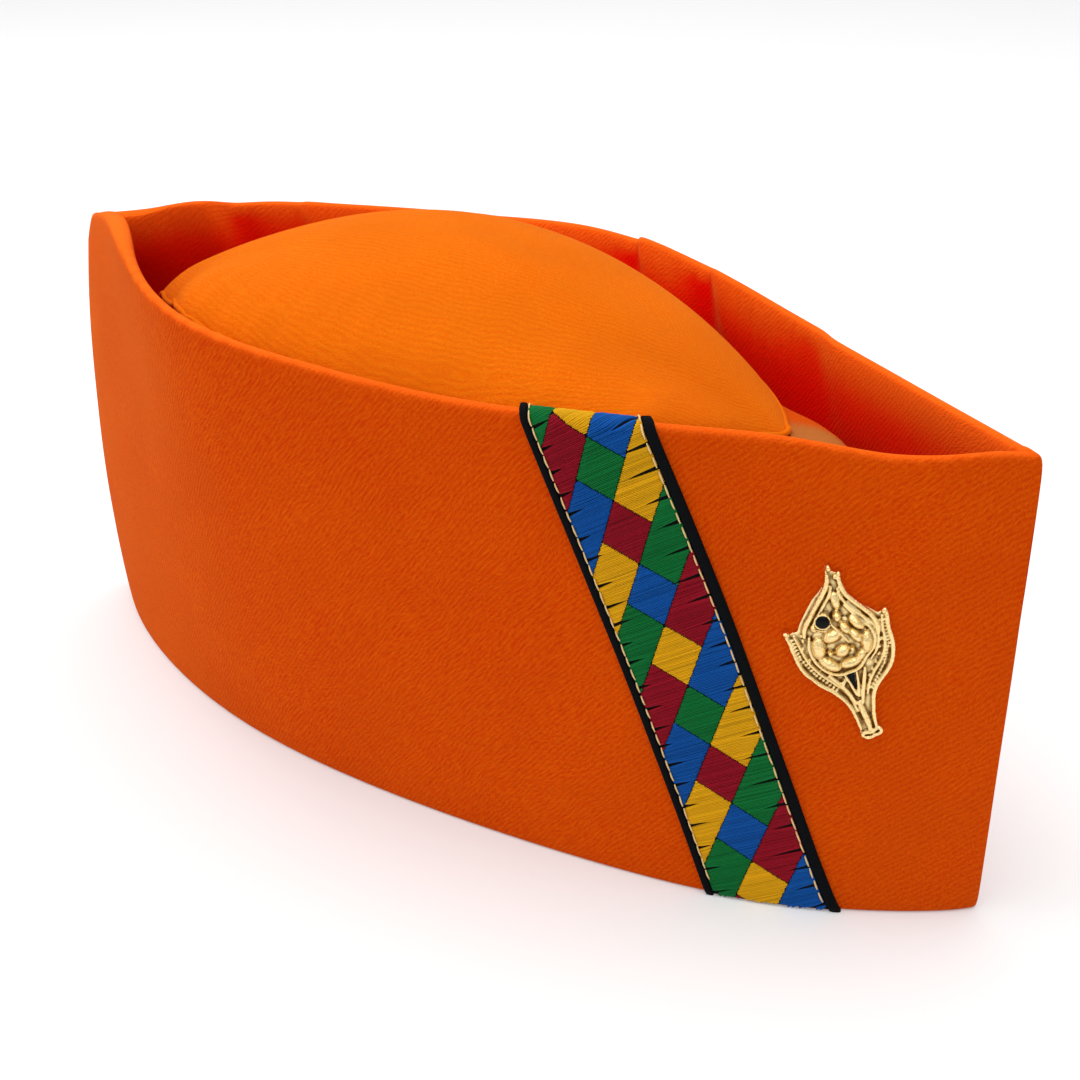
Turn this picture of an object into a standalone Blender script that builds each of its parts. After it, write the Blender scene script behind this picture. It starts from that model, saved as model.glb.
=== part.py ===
"""Pahadi cap: a boat-shaped cloth cap with a domed top, a folded-up side wall, a ribbon and a brooch.

The cap stands on its head opening. +X is the pointed front, +Z is up, and the ribbon and the
brooch are on the -Y side, the wearer's right. Sizes are in millimetres and become metres when
a mesh is made. A station runs along the cap from -1 at the back to +1 at the front, a level
runs up a wall from 0 at the base to 1 at its top, and a side is -1 for near, +1 for far.
"""

import functools
import math

import bmesh
import bpy
import numpy as np
from mathutils import Matrix, Vector

MM = 0.001
GAP = 0.3

# Turn-up: the doubled cloth wall that is folded up round the cap
BASE_LENGTH = 264.8
RIM_LENGTH = 262.9
BASE_HALF_WIDTH = 42.2
RIM_HALF_WIDTH = 50.4
BASE_BLUNT_BACK, BASE_BLUNT_FRONT = 0.75, 0.79
RIM_BLUNT_BACK, RIM_BLUNT_FRONT = 0.94, 1.05
TURN_UP_WALL = 3.0
RIM_RADIUS = TURN_UP_WALL / 2
BASE_ROUND = 0.7

# One row a section: how far each outline stands out from the plain lens shape, the height of
# the near and far rims, and how far the wall bellies out at half height
SECTION_COLUMNS = ("station", "near_out", "far_out", "base_out", "near_rise", "far_rise", "belly")
SECTIONS = (
    (-1.0, -2.8, -0.1, -0.5, 114.0, 114.0, 3.7),
    (-0.7, -2.0, -0.5, 0.4, 122.9, 116.8, 2.0),
    (-0.4, 8.0, 0.3, 0.5, 117.6, 116.8, 0.2),
    (-0.1, 3.2, 0.8, -0.9, 110.9, 118.0, 0.0),
    (0.2, -1.6, 0.5, -1.8, 107.8, 117.2, 0.0),
    (0.5, -1.3, -1.0, -0.3, 107.9, 110.4, 0.0),
    (0.8, -6.5, -0.6, 2.5, 104.6, 106.4, 0.0),
    (1.0, 5.0, -1.2, 0.2, 105.5, 105.6, 0.0),
)

# One row a pucker of the far wall's upper part: x, half width, depth, and reach down the wall
PUCKERS = (
    (-100.0, 6.0, 1.5, 42.0),
    (-72.0, 7.0, 0.8, 34.0),
    (-28.0, 7.0, 0.7, 30.0),
    (14.0, 7.0, 0.9, 34.0),
    (33.0, 8.0, 1.4, 48.0),
)

# Crown: a side band inside the turn-up, and the top panel sewn to it
SEAM_BACK, SEAM_FRONT = -103.0, 79.9
SEAM_HALF_WIDTH = 42.2
SEAM_BLUNT_BACK, SEAM_BLUNT_FRONT = 0.76, 0.72
SEAM_HEIGHT_BACK, SEAM_HEIGHT_MIDDLE, SEAM_HEIGHT_FRONT = 99.8, 105.8, 96.9
SEAM_ALLOWANCE = 0.15
BAND_WALL = 1.8
BAND_PUFF_SIDE, BAND_PUFF_BACK, BAND_PUFF_FRONT = 1.5, 3.5, 6.0
BAND_PUFF_LEVEL = 0.9
BAND_PUFF_SPREAD = 0.11
BAND_CROWDING = 1.6
DOME_RISE = 23.2
DOME_BLUNT_BACK, DOME_BLUNT_FRONT = 1.2, 0.97
DOME_FULLNESS = 2.6
PANEL_WALL = 1.8
PANEL_EDGE_WALL = 2.2

# Ribbon: runs from the base up the near wall, over the rim and a little way down inside
RIBBON_BASE_X = 94.9
RIBBON_RIM_X = 55.5
RIBBON_FIELD = 19.2
RIBBON_THICK = 0.7
RIBBON_TUCK = 14.0
BINDING_WIDTH = 2.3
BINDING_THICK = 1.2
BINDING_SHOULDER, BINDING_CROWN = 0.55, 0.5
RIBBON_END = 0.35

# Brooch: a cast flower bud between two leaves, pinned through the near wall
BROOCH_X = 102.9
BROOCH_Z = 62.5
BROOCH_TILT = 18.4
BROOCH_PLATE = 1.2
BROOCH_LIFT = 0.6
BROOCH_SWEEP = 1.4
BROOCH_HALF_LENGTH = 19.0
LEAF_RIM_INSET, LEAF_RIM_RADIUS = 0.75, 0.55
SEPAL_RADIUS = 0.5
STEM_RADIUS = 0.8
RIB_END = 0.55
BUD_AT = (0.2, 1.6)
BUD_RADIUS = 6.4
BUD_HEIGHT = 2.4
PETAL_SIZE = (3.3, 2.2)
PETAL_RISE = 0.7
SEAT_FLOOR, SEAT_ROOM = 0.5, 5.0
STONE_RADIUS = 1.75
STONE_AT = (-2.2, 7.6)
INLAY_TOP, INLAY_FOOT = -5.4, -9.0
INLAY_HALF_WIDTH = 1.3
INLAY_SHARE, INLAY_RISE = 0.9, 1.1
PIN_RADIUS = 0.6
PIN_SPARE = 0.2
HOLE_LOW, HOLE_HIGH = -9.0, 3.0
CLUTCH_RADIUS = 3.2
CLUTCH_THICK = 1.6

# The raised sepals beside the bud, one row a point: height and half width
SEPAL_LINE = ((6.6, 7.3), (9.3, 5.4), (12.0, 2.9), (14.8, 0.9))
STEM_HEIGHTS = (-18.9, -16.0, -12.4, -9.7)

# One row a petal of the bud: x, y and turn in degrees
PETALS = ((-2.6, 0.2, 35), (3.2, 0.4, -30), (0.6, 3.8, 5))

# The stone's side, one row a ring: share of its radius, and height
STONE_SIDE = ((1.0, 0.0), (1.0, 0.7), (0.8, 1.2), (0.45, 1.5))

# Half outline of the brooch from the foot of its stem to its top point: height and half width
BROOCH_OUTLINE = (
    (-19.6, 1.8),
    (-18.0, 2.4),
    (-15.0, 1.9),
    (-12.5, 2.7),
    (-9.8, 4.2),
    (-7.4, 6.1),
    (-4.8, 8.4),
    (-1.8, 9.5),
    (3.0, 9.8),
    (7.0, 10.5),
    (6.4, 8.2),
    (9.0, 6.3),
    (11.8, 3.6),
    (14.6, 1.5),
    (16.6, 1.8),
    (18.4, 1.5),
    (17.0, 0.6),
)
BROOCH_TOP = 18.2
LEAF_ROWS = slice(3, 10)

POINTS_PER_SIDE = 42
WALL_ROWS = 9
BAND_ROWS = 7
DOME_RINGS = (0.95, 0.85, 0.71, 0.55, 0.38, 0.2)
SLOPE_REACH = 0.05
HALVINGS = 40

COLOURS = {
    "cloth": ((0.86, 0.17, 0.01), 0.85, 0.0),
    "cloth_top": ((0.90, 0.22, 0.02), 0.85, 0.0),
    "ribbon": ((0.10, 0.22, 0.40), 0.5, 0.0),
    "binding": ((0.01, 0.01, 0.012), 0.55, 0.0),
    "gilt": ((0.75, 0.52, 0.22), 0.3, 1.0),
    "black_enamel": ((0.008, 0.008, 0.01), 0.15, 0.0),
    "steel": ((0.6, 0.6, 0.6), 0.35, 1.0),
}


def spline_through(stations, values):
    """Natural cubic curve through a few values, as a function of the station."""
    stations = np.array(stations)
    values = np.array(values)
    steps = np.diff(stations)
    count = len(stations)
    matrix = np.eye(count)
    bends = np.zeros(count)
    for i in range(1, count - 1):
        matrix[i, i - 1 : i + 2] = (steps[i - 1], 2 * (steps[i - 1] + steps[i]), steps[i])
        rise_after = (values[i + 1] - values[i]) / steps[i]
        rise_before = (values[i] - values[i - 1]) / steps[i - 1]
        bends[i] = 6 * (rise_after - rise_before)
    bends = np.linalg.solve(matrix, bends)

    def curve(station):
        i = int(np.clip(np.searchsorted(stations, station) - 1, 0, count - 2))
        step = steps[i]
        after = (station - stations[i]) / step
        before = 1 - after
        bend = (before**3 - before) * bends[i] + (after**3 - after) * bends[i + 1]
        return before * values[i] + after * values[i + 1] + bend * step * step / 6

    return curve


def section_curve(column):
    place = SECTION_COLUMNS.index(column)
    return spline_through([row[0] for row in SECTIONS], [row[place] for row in SECTIONS])


OUT = {-1: section_curve("near_out"), 1: section_curve("far_out")}
RISE = {-1: section_curve("near_rise"), 1: section_curve("far_rise")}
BASE_OUT = section_curve("base_out")
BELLY = section_curve("belly")


def blend(low, high, share):
    return low + (high - low) * share


def lens(station, blunt_back, blunt_front):
    """A leaf-shaped plan, 0 at both ends and 1 at its widest; a smaller bluntness is rounder."""
    widest = (blunt_back - blunt_front) / (blunt_back + blunt_front)
    most = (1 + widest) ** blunt_back * (1 - widest) ** blunt_front
    after_back = max(1 + station, 0.0) ** blunt_back
    before_front = max(1 - station, 0.0) ** blunt_front
    return after_back * before_front / most


def inset_half(half, x, side, inset):
    """Half width at x of an outline drawn the inset inside another, measured square to it."""
    slope = (half(x + SLOPE_REACH, side) - half(x - SLOPE_REACH, side)) / (2 * SLOPE_REACH)
    return half(x, side) - inset * math.hypot(1, slope)


def inset_tip(half, middle, tip, inset):
    """Where the two sides of the inset outline meet, between the middle and a tip."""
    if inset <= 0:
        return tip
    inside, outside = middle, tip
    for _ in range(HALVINGS):
        x = (inside + outside) / 2
        width = inset_half(half, x, -1, inset) + inset_half(half, x, 1, inset)
        if width > 0:
            inside = x
        else:
            outside = x
    return inside


def wall_half_length(level):
    return blend(BASE_LENGTH, RIM_LENGTH, level) / 2


def wall_half(level):
    """The turn-up's outline at a level, as a half width at x on a side."""

    def half(x, side):
        station = float(np.clip(x / wall_half_length(level), -1, 1))
        fade = 1 - station**2
        base = BASE_HALF_WIDTH * lens(station, BASE_BLUNT_BACK, BASE_BLUNT_FRONT)
        rim = RIM_HALF_WIDTH * lens(station, RIM_BLUNT_BACK, RIM_BLUNT_FRONT)
        base += BASE_OUT(station) * fade
        rim += OUT[side](station) * fade
        return blend(base, rim, level)

    return half


def pucker(x, side, drop):
    """How far the far wall is drawn inwards at x, this far below its rim."""
    if side < 0:
        return 0.0
    depth = 0.0
    for at, half_width, most, reach in PUCKERS:
        fade = max(0.0, 1 - drop / reach)
        depth += most * math.exp(-(((x - at) / half_width) ** 2)) * fade * fade
    return depth


def wall_at(x, level, side, inset=0.0, lift=0.0):
    """A point of the turn-up: the inset goes into the cloth, and a negative one off its face."""
    half = wall_half(level)
    limit = wall_half_length(level)
    inner = float(np.clip(x, -limit + 2 * SLOPE_REACH, limit - 2 * SLOPE_REACH))
    slope = (half(inner + SLOPE_REACH, side) - half(inner - SLOPE_REACH, side)) / (2 * SLOPE_REACH)
    square = math.hypot(1, slope)
    y = half(x, side) - inset * square
    station = x / limit
    belly = BELLY(max(-1.0, station)) * 4 * level * (1 - level)
    stand = RISE[side](float(np.clip(station, -1, 1))) - RIM_RADIUS
    y += belly / square - pucker(x, side, stand * (1 - level))
    return Vector((x - belly * slope / square, side * y, stand * level + lift))


@functools.cache
def wall_tips(level, inset):
    half = wall_half(level)
    limit = wall_half_length(level)
    return inset_tip(half, 0.0, -limit, inset), inset_tip(half, 0.0, limit, inset)


def stations():
    """Stations close together at the two ends, where the outline turns."""
    return [-math.cos(math.pi * i / POINTS_PER_SIDE) for i in range(POINTS_PER_SIDE + 1)]


def round_the_cap(point_at):
    """One closed loop: along the near side to the front, and back along the far side."""
    ahead = stations()
    near = [point_at(station, -1) for station in ahead]
    far = [point_at(station, 1) for station in reversed(ahead[1:-1])]
    near[0] = (near[0] + point_at(-1.0, 1)) / 2
    near[-1] = (near[-1] + point_at(1.0, 1)) / 2
    return near + far


def wall_loop(level, inset, lift=0.0):
    back, front = wall_tips(level, inset)

    def point_at(station, side):
        return wall_at(blend(back, front, (station + 1) / 2), level, side, inset, lift)

    return round_the_cap(point_at)


def seam_half(x, side):
    """The top panel's outline, which the side band's top edge follows."""
    middle = (SEAM_BACK + SEAM_FRONT) / 2
    station = (x - middle) / ((SEAM_FRONT - SEAM_BACK) / 2)
    return SEAM_HALF_WIDTH * lens(float(np.clip(station, -1, 1)), SEAM_BLUNT_BACK, SEAM_BLUNT_FRONT)


def seam_height(x):
    station = (x - (SEAM_BACK + SEAM_FRONT) / 2) / ((SEAM_FRONT - SEAM_BACK) / 2)
    lean = (SEAM_HEIGHT_FRONT - SEAM_HEIGHT_BACK) / 2
    droop = (SEAM_HEIGHT_FRONT + SEAM_HEIGHT_BACK) / 2 - SEAM_HEIGHT_MIDDLE
    return SEAM_HEIGHT_MIDDLE + lean * station + droop * station**2


@functools.cache
def seam_tips(inset):
    middle = (SEAM_BACK + SEAM_FRONT) / 2
    back = inset_tip(seam_half, middle, SEAM_BACK, inset)
    return back, inset_tip(seam_half, middle, SEAM_FRONT, inset)


def seam_at(station, side, inset):
    back, front = seam_tips(inset)
    x = blend(back, front, (station + 1) / 2)
    y = max(0.0, inset_half(seam_half, x, side, inset)) if inset else seam_half(x, side)
    return Vector((x, side * y, seam_height(x)))


def band_base_at(station, side, inset):
    """The band's foot follows the turn-up's inner face."""
    within = TURN_UP_WALL + GAP + inset
    back, front = wall_tips(0.0, within)
    x = blend(back, front, (station + 1) / 2)
    return Vector((x, side * inset_half(wall_half(0.0), x, side, within), 0.0))


def band_puff(station, level):
    """The band stands out below its seam, most of all at the front."""
    end = BAND_PUFF_FRONT if station > 0 else BAND_PUFF_BACK
    most = blend(BAND_PUFF_SIDE, end, station**4)
    return most * math.exp(-(((level - BAND_PUFF_LEVEL) / BAND_PUFF_SPREAD) ** 2))


def band_at(station, level, side, inset):
    foot = band_base_at(station, side, inset)
    head = seam_at(station, side, inset)
    head.z -= SEAM_ALLOWANCE
    point = foot.lerp(head, level)
    middle = (SEAM_BACK + SEAM_FRONT) / 2
    out = Vector((head.x - middle, head.y * 4, 0.0)).normalized()
    return point + out * band_puff(station, level) * (1 - level) / (1 - BAND_PUFF_LEVEL)


def band_loop(level, inset):
    return round_the_cap(lambda station, side: band_at(station, level, side, inset))


def dome_height(x, y, inset, rise):
    """Height of a dome that stands on the seam outline, or on one the inset inside it."""
    back, front = seam_tips(inset)
    station = float(np.clip((2 * x - front - back) / (front - back), -1, 1))
    half = max(seam_half(x, 1) if inset <= 0 else inset_half(seam_half, x, 1, inset), 1e-6)
    across = min(1.0, abs(y) / half)
    swell = rise * lens(station, DOME_BLUNT_BACK, DOME_BLUNT_FRONT)
    return seam_height(x) + SEAM_ALLOWANCE + swell * (1 - across**DOME_FULLNESS)


def dome_loop(share, inset, rise):
    """A ring of the dome, shrunk towards the middle of the panel."""
    middle = (SEAM_BACK + SEAM_FRONT) / 2

    def point_at(station, side):
        edge = seam_at(station, side, inset)
        x = middle + (edge.x - middle) * share
        y = edge.y * share
        return Vector((x, y, dome_height(x, y, inset, rise)))

    return round_the_cap(point_at)


def material(name):
    colour, roughness, metallic = COLOURS[name]
    made = bpy.data.materials.get(name)
    if made is None:
        made = bpy.data.materials.new(name)
        made.use_nodes = True
        shader = made.node_tree.nodes["Principled BSDF"]
        shader.inputs["Base Color"].default_value = (*colour, 1.0)
        shader.inputs["Roughness"].default_value = roughness
        shader.inputs["Metallic"].default_value = metallic
        made.diffuse_color = (*colour, 1.0)
    return made


def add_object(name, bm, finish, smooth=True):
    mesh = bpy.data.meshes.new(name)
    bmesh.ops.recalc_face_normals(bm, faces=bm.faces)
    bm.to_mesh(mesh)
    bm.free()
    if smooth:
        mesh.shade_smooth()
        mesh.set_sharp_from_angle(angle=math.radians(40))
    made = bpy.data.objects.new(name, mesh)
    bpy.context.collection.objects.link(made)
    mesh.materials.append(material(finish))
    return made


def loft(loops, closed, scale=MM):
    """Faces between each loop and the next; the last joins the first if closed."""
    bm = bmesh.new()
    rows = [[bm.verts.new(point * scale) for point in loop] for loop in loops]
    pairs = list(zip(rows, rows[1:]))
    if closed:
        pairs.append((rows[-1], rows[0]))
    for low, high in pairs:
        for i in range(len(low)):
            j = (i + 1) % len(low)
            bm.faces.new((low[i], low[j], high[j], high[i]))
    return bm, rows


def build_turn_up():
    """Up the outer face, over the rolled rim, down the inner face and across the flat foot."""
    levels = [i / WALL_ROWS for i in range(1, WALL_ROWS + 1)]
    loops = [wall_loop(0.0, BASE_ROUND), wall_loop(0.0, 0.0, BASE_ROUND)]
    loops += [wall_loop(level, 0.0) for level in levels]
    for degrees in (45, 90, 135):
        angle = math.radians(degrees)
        inset = RIM_RADIUS * (1 - math.cos(angle))
        loops.append(wall_loop(1.0, inset, RIM_RADIUS * math.sin(angle)))
    loops += [wall_loop(level, TURN_UP_WALL) for level in reversed(levels)]
    loops.append(wall_loop(0.0, TURN_UP_WALL))
    bm, _ = loft(loops, closed=True)
    return add_object("turn_up", bm, "cloth")


def build_side_band():
    """The band's outer face, its top edge under the seam, and its inner face."""
    levels = [1 - (1 - i / BAND_ROWS) ** BAND_CROWDING for i in range(BAND_ROWS + 1)]
    loops = [band_loop(level, 0.0) for level in levels]
    loops += [band_loop(level, BAND_WALL) for level in reversed(levels)]
    bm, _ = loft(loops, closed=True)
    return add_object("side_band", bm, "cloth")


def build_top_panel():
    """Two nested domes joined by a flat edge that sits on the band."""
    outer = [(share, 0.0, DOME_RISE) for share in reversed(DOME_RINGS)]
    inner = [(share, PANEL_EDGE_WALL, DOME_RISE - PANEL_WALL) for share in DOME_RINGS]
    edge = [(1.0, 0.0, DOME_RISE), (1.0, PANEL_EDGE_WALL, DOME_RISE - PANEL_WALL)]
    bm, rows = loft([dome_loop(*ring) for ring in outer + edge + inner], closed=False)
    middle = (SEAM_BACK + SEAM_FRONT) / 2
    for row, inset, rise in (
        (rows[0], 0.0, DOME_RISE),
        (rows[-1], PANEL_EDGE_WALL, DOME_RISE - PANEL_WALL),
    ):
        peak = bm.verts.new(Vector((middle, 0.0, dome_height(middle, 0.0, inset, rise))) * MM)
        for i in range(len(row)):
            bm.faces.new((row[i], row[(i + 1) % len(row)], peak))
    return add_object("top_panel", bm, "cloth_top")


def ribbon_path():
    """Rows along the ribbon: a wall level, an inset offset, a lift, and the ribbon's middle x.

    Each row is a function that turns a cross-section's distance off the cloth into a place.
    """
    climb = RISE[-1](RIBBON_RIM_X / (RIM_LENGTH / 2)) - RIM_RADIUS
    drift = (RIBBON_BASE_X - RIBBON_RIM_X) / climb
    rows = []
    for i in range(13):
        level = i / 12
        lift = RIBBON_END * (1 - level)
        rows.append((level, lambda off: -off, lambda off, lift=lift: lift, climb * (1 - level)))
    for degrees in (30, 60, 90, 120, 150):
        angle = math.radians(degrees)
        rows.append(
            (
                1.0,
                lambda off, a=angle: RIM_RADIUS - (RIM_RADIUS + off) * math.cos(a),
                lambda off, a=angle: (RIM_RADIUS + off) * math.sin(a),
                -RIM_RADIUS * angle,
            )
        )
    for i in range(4):
        down = RIBBON_TUCK * i / 3
        run = -RIM_RADIUS * math.pi - down
        rows.append((1 - down / climb, lambda off: TURN_UP_WALL + off, lambda off: 0.0, run))
    return [(level, inset, lift, RIBBON_RIM_X + drift * run) for level, inset, lift, run in rows]


def build_strip(name, section, finish):
    """Sweep a cross-section of (distance along x, distance off the cloth) up the near wall."""
    loops = []
    for level, inset, lift, middle in ribbon_path():
        loop = []
        for along, off in section:
            loop.append(wall_at(middle + along, level, -1, inset(off), lift(off)))
        loops.append(loop)
    bm, rows = loft(loops, closed=False)
    bm.faces.new(rows[0])
    bm.faces.new(rows[-1])
    return add_object(name, bm, finish)


def build_ribbon():
    half = RIBBON_FIELD / 2
    columns = [-half, -half / 2, 0.0, half / 2, half]
    section = [(x, GAP) for x in columns]
    section += [(x, GAP + RIBBON_THICK) for x in reversed(columns)]
    return build_strip("ribbon", section, "ribbon")


def build_binding(name, end):
    """A rounded cord of folded cloth along one edge of the ribbon."""
    middle = end * (RIBBON_FIELD / 2 + GAP + BINDING_WIDTH / 2)
    half = BINDING_WIDTH / 2
    low, shoulder, top = GAP, GAP + BINDING_THICK * BINDING_SHOULDER, GAP + BINDING_THICK
    section = [(-half, low), (half, low), (half, shoulder), (half * BINDING_CROWN, top)]
    section += [(-half * BINDING_CROWN, top), (-half, shoulder)]
    return build_strip(name, [(middle + x, off) for x, off in section], "binding")


def brooch_frame():
    """Where the brooch lies: its own +Y up its stem, and +Z off the cloth."""
    level = BROOCH_Z / (RISE[-1](BROOCH_X / (RIM_LENGTH / 2)) - RIM_RADIUS)
    at = wall_at(BROOCH_X, level, -1)
    along = (wall_at(BROOCH_X + 1, level, -1) - at).normalized()
    up = (wall_at(BROOCH_X, level + 0.01, -1) - at).normalized()
    out = along.cross(up).normalized()
    up = out.cross(along)
    tilt = Matrix.Rotation(math.radians(BROOCH_TILT), 3, "Z")
    turn = Matrix((along, up, out)).transposed() @ tilt
    place = turn.to_4x4()
    place.translation = (at + out * BROOCH_LIFT) * MM
    return place


def swept(height, half_width):
    """A point of the brooch's face: its middle line bends a little towards both ends."""
    return half_width + BROOCH_SWEEP * (height / BROOCH_HALF_LENGTH) ** 2, height


def brooch_outline():
    right = [swept(height, half) for height, half in BROOCH_OUTLINE]
    left = [swept(height, -half) for height, half in reversed(BROOCH_OUTLINE)]
    return right + [swept(BROOCH_TOP, 0.0)] + left


def prism(outline, low, high):
    bm, rows = loft([[Vector((x, y, z)) for x, y in outline] for z in (low, high)], closed=False)
    bm.faces.new(rows[0])
    bm.faces.new(rows[1])
    bmesh.ops.recalc_face_normals(bm, faces=bm.faces)
    bmesh.ops.triangulate(bm, faces=[face for face in bm.faces if len(face.verts) > 4])
    return bm


def ridge(points, radius, base):
    """A raised rib along a line of points, tapering at both ends."""
    loops = []
    for i, (x, y) in enumerate(points):
        before = Vector(points[max(i - 1, 0)])
        after = Vector(points[min(i + 1, len(points) - 1)])
        along = (after - before).normalized()
        across = Vector((along.y, -along.x))
        size = radius * (RIB_END if i in (0, len(points) - 1) else 1.0)
        loop = []
        for turn in range(8):
            angle = math.tau * turn / 8
            spot = Vector((x, y)) + across * size * math.cos(angle)
            loop.append(Vector((spot.x, spot.y, base + size * math.sin(angle))))
        loops.append(loop)
    bm, rows = loft(loops, closed=False)
    bm.faces.new(rows[0])
    bm.faces.new(rows[-1])
    bmesh.ops.recalc_face_normals(bm, faces=bm.faces)
    return bm


def blob(at, sizes, height, turned=0.0, sides=16, rings=8):
    """The upper half of a flattened ball, with a flat foot sunk into the plate."""
    bm = bmesh.new()
    bmesh.ops.create_uvsphere(bm, u_segments=sides, v_segments=rings, radius=1.0)
    size = Matrix.Diagonal((*sizes, height, 1.0))
    turn = Matrix.Rotation(math.radians(turned), 4, "Z")
    spot = Matrix.Translation((*at, BROOCH_PLATE))
    bm.transform(Matrix.Scale(MM, 4) @ spot @ turn @ size)
    everything = bm.verts[:] + bm.edges[:] + bm.faces[:]
    foot = Vector((0.0, 0.0, BROOCH_PLATE / 2)) * MM
    cut = bmesh.ops.bisect_plane(
        bm, geom=everything, plane_co=foot, plane_no=(0.0, 0.0, 1.0), clear_inner=True
    )
    edges = [part for part in cut["geom_cut"] if isinstance(part, bmesh.types.BMEdge)]
    bmesh.ops.contextual_create(bm, geom=edges)
    return bm


def joined(first, others, operation):
    """Boolean union or difference of a piece with others, applied in order."""
    for number, (other, name) in enumerate(others):
        tool = add_object(f"{first.name}_{name}_{number}", other, "steel", smooth=False)
        cut = first.modifiers.new(name, "BOOLEAN")
        cut.operation = operation
        cut.solver = "EXACT"
        cut.object = tool
        bpy.context.view_layer.update()
        graph = bpy.context.evaluated_depsgraph_get()
        done = bpy.data.meshes.new_from_object(first.evaluated_get(graph))
        first.modifiers.clear()
        old = first.data
        first.data = done
        done.name = first.name
        bpy.data.meshes.remove(old)
        bpy.data.objects.remove(tool, do_unlink=True)
    return first


def disc(radius, low, high, at=(0.0, 0.0), sides=20):
    outline = []
    for turn in range(sides):
        angle = math.tau * turn / sides
        outline.append((at[0] + radius * math.cos(angle), at[1] + radius * math.sin(angle)))
    return prism(outline, low, high)


def build_brooch():
    """Plate, leaf rims, stem rib and bud, cast as one piece, with a seat for the stone."""
    plate = add_object("brooch", prism(brooch_outline(), 0.0, BROOCH_PLATE), "gilt")
    ribs = []
    for side in (-1, 1):
        edge = BROOCH_OUTLINE[LEAF_ROWS]
        rim = [swept(height, side * (half - LEAF_RIM_INSET)) for height, half in edge]
        ribs.append((ridge(rim, LEAF_RIM_RADIUS, BROOCH_PLATE), "leaf_rim"))
        sepal = [swept(height, side * half) for height, half in SEPAL_LINE]
        ribs.append((ridge(sepal, SEPAL_RADIUS, BROOCH_PLATE), "sepal"))
    stem = [swept(height, 0.0) for height in STEM_HEIGHTS]
    ribs.append((ridge(stem, STEM_RADIUS, BROOCH_PLATE), "stem"))
    joined(plate, ribs, "UNION")
    joined(plate, [(blob(BUD_AT, (BUD_RADIUS, BUD_RADIUS), BUD_HEIGHT), "bud")], "UNION")
    petals = []
    for x, y, turned in PETALS:
        petals.append((blob((x, y), PETAL_SIZE, BUD_HEIGHT + PETAL_RISE, turned, 12, 6), "petal"))
    joined(plate, petals, "UNION")
    seat = BROOCH_PLATE + SEAT_FLOOR
    seat_cut = disc(STONE_RADIUS + GAP, seat, seat + SEAT_ROOM, STONE_AT)
    joined(plate, [(seat_cut, "seat")], "DIFFERENCE")
    return plate


def build_stone():
    """A round black stone, flat below and domed above, in its seat on the bud."""
    low = BROOCH_PLATE + SEAT_FLOOR + GAP
    loops = []
    for share, height in STONE_SIDE:
        loop = []
        for turn in range(16):
            angle = math.tau * turn / 16
            x = STONE_AT[0] + STONE_RADIUS * share * math.cos(angle)
            y = STONE_AT[1] + STONE_RADIUS * share * math.sin(angle)
            loop.append(Vector((x, y, low + height)))
        loops.append(loop)
    bm, rows = loft(loops, closed=False)
    bm.faces.new(rows[0])
    bm.faces.new(rows[-1])
    return add_object("brooch_stone", bm, "black_enamel")


def build_inlay():
    """A dark enamel drop below the bud, between the two leaves."""
    drop = [
        swept(INLAY_TOP, -INLAY_HALF_WIDTH),
        swept(INLAY_FOOT, 0.0),
        swept(INLAY_TOP, INLAY_HALF_WIDTH),
    ]
    middle = sum((Vector(point) for point in drop), Vector((0.0, 0.0))) / 3
    outline = [tuple(middle + (Vector(point) - middle) * INLAY_SHARE) for point in drop]
    enamel = prism(outline, BROOCH_PLATE + GAP, BROOCH_PLATE + INLAY_RISE)
    return add_object("brooch_inlay", enamel, "black_enamel", smooth=False)


def build_pin():
    """The pin behind the brooch: it goes through the cloth and is held by a round clutch."""
    inside = -(BROOCH_LIFT + TURN_UP_WALL + GAP + PIN_SPARE)
    post = disc(PIN_RADIUS, inside - CLUTCH_THICK / 2, -GAP, sides=12)
    pin = add_object("brooch_pin", post, "steel")
    joined(pin, [(disc(CLUTCH_RADIUS, inside - CLUTCH_THICK, inside), "clutch")], "UNION")
    return pin


def pierce(wall, place):
    """A hole for the pin through the near wall."""
    hole = disc(PIN_RADIUS + GAP, HOLE_LOW, HOLE_HIGH, sides=12)
    hole.transform(place)
    joined(wall, [(hole, "pin_hole")], "DIFFERENCE")


def centre_on_box(pieces):
    """Shift everything so that the origin is the middle of the whole cap's box, at its foot."""
    bpy.context.view_layer.update()
    corners = [piece.matrix_world @ vertex.co for piece in pieces for vertex in piece.data.vertices]
    low = [min(corner[axis] for corner in corners) for axis in range(3)]
    high = [max(corner[axis] for corner in corners) for axis in range(3)]
    shift = Vector((-(low[0] + high[0]) / 2, -(low[1] + high[1]) / 2, -low[2]))
    for piece in pieces:
        piece.location += shift


def main():
    for old in list(bpy.data.objects):
        bpy.data.objects.remove(old, do_unlink=True)
    place = brooch_frame()
    turn_up = build_turn_up()
    pierce(turn_up, place)
    cloth = [turn_up, build_side_band(), build_top_panel(), build_ribbon()]
    cloth += [build_binding("ribbon_binding_rear", -1), build_binding("ribbon_binding_front", 1)]
    metal = [build_brooch(), build_stone(), build_inlay(), build_pin()]
    for piece in metal:
        piece.matrix_world = place
    centre_on_box(cloth + metal)


main()
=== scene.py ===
"""A pahadi cap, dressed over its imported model: napped orange cloth, a satin-stitched ribbon and a
cast brooch, on a plain pale floor.

+X is the pointed front, +Z is up, and the ribbon and the brooch are on the -Y side. Sizes are in
millimetres and are turned into metres by MM.
"""

import math
import random

import bpy
import numpy as np
from mathutils import Euler, Matrix, Vector, noise
from mathutils.bvhtree import BVHTree


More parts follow.
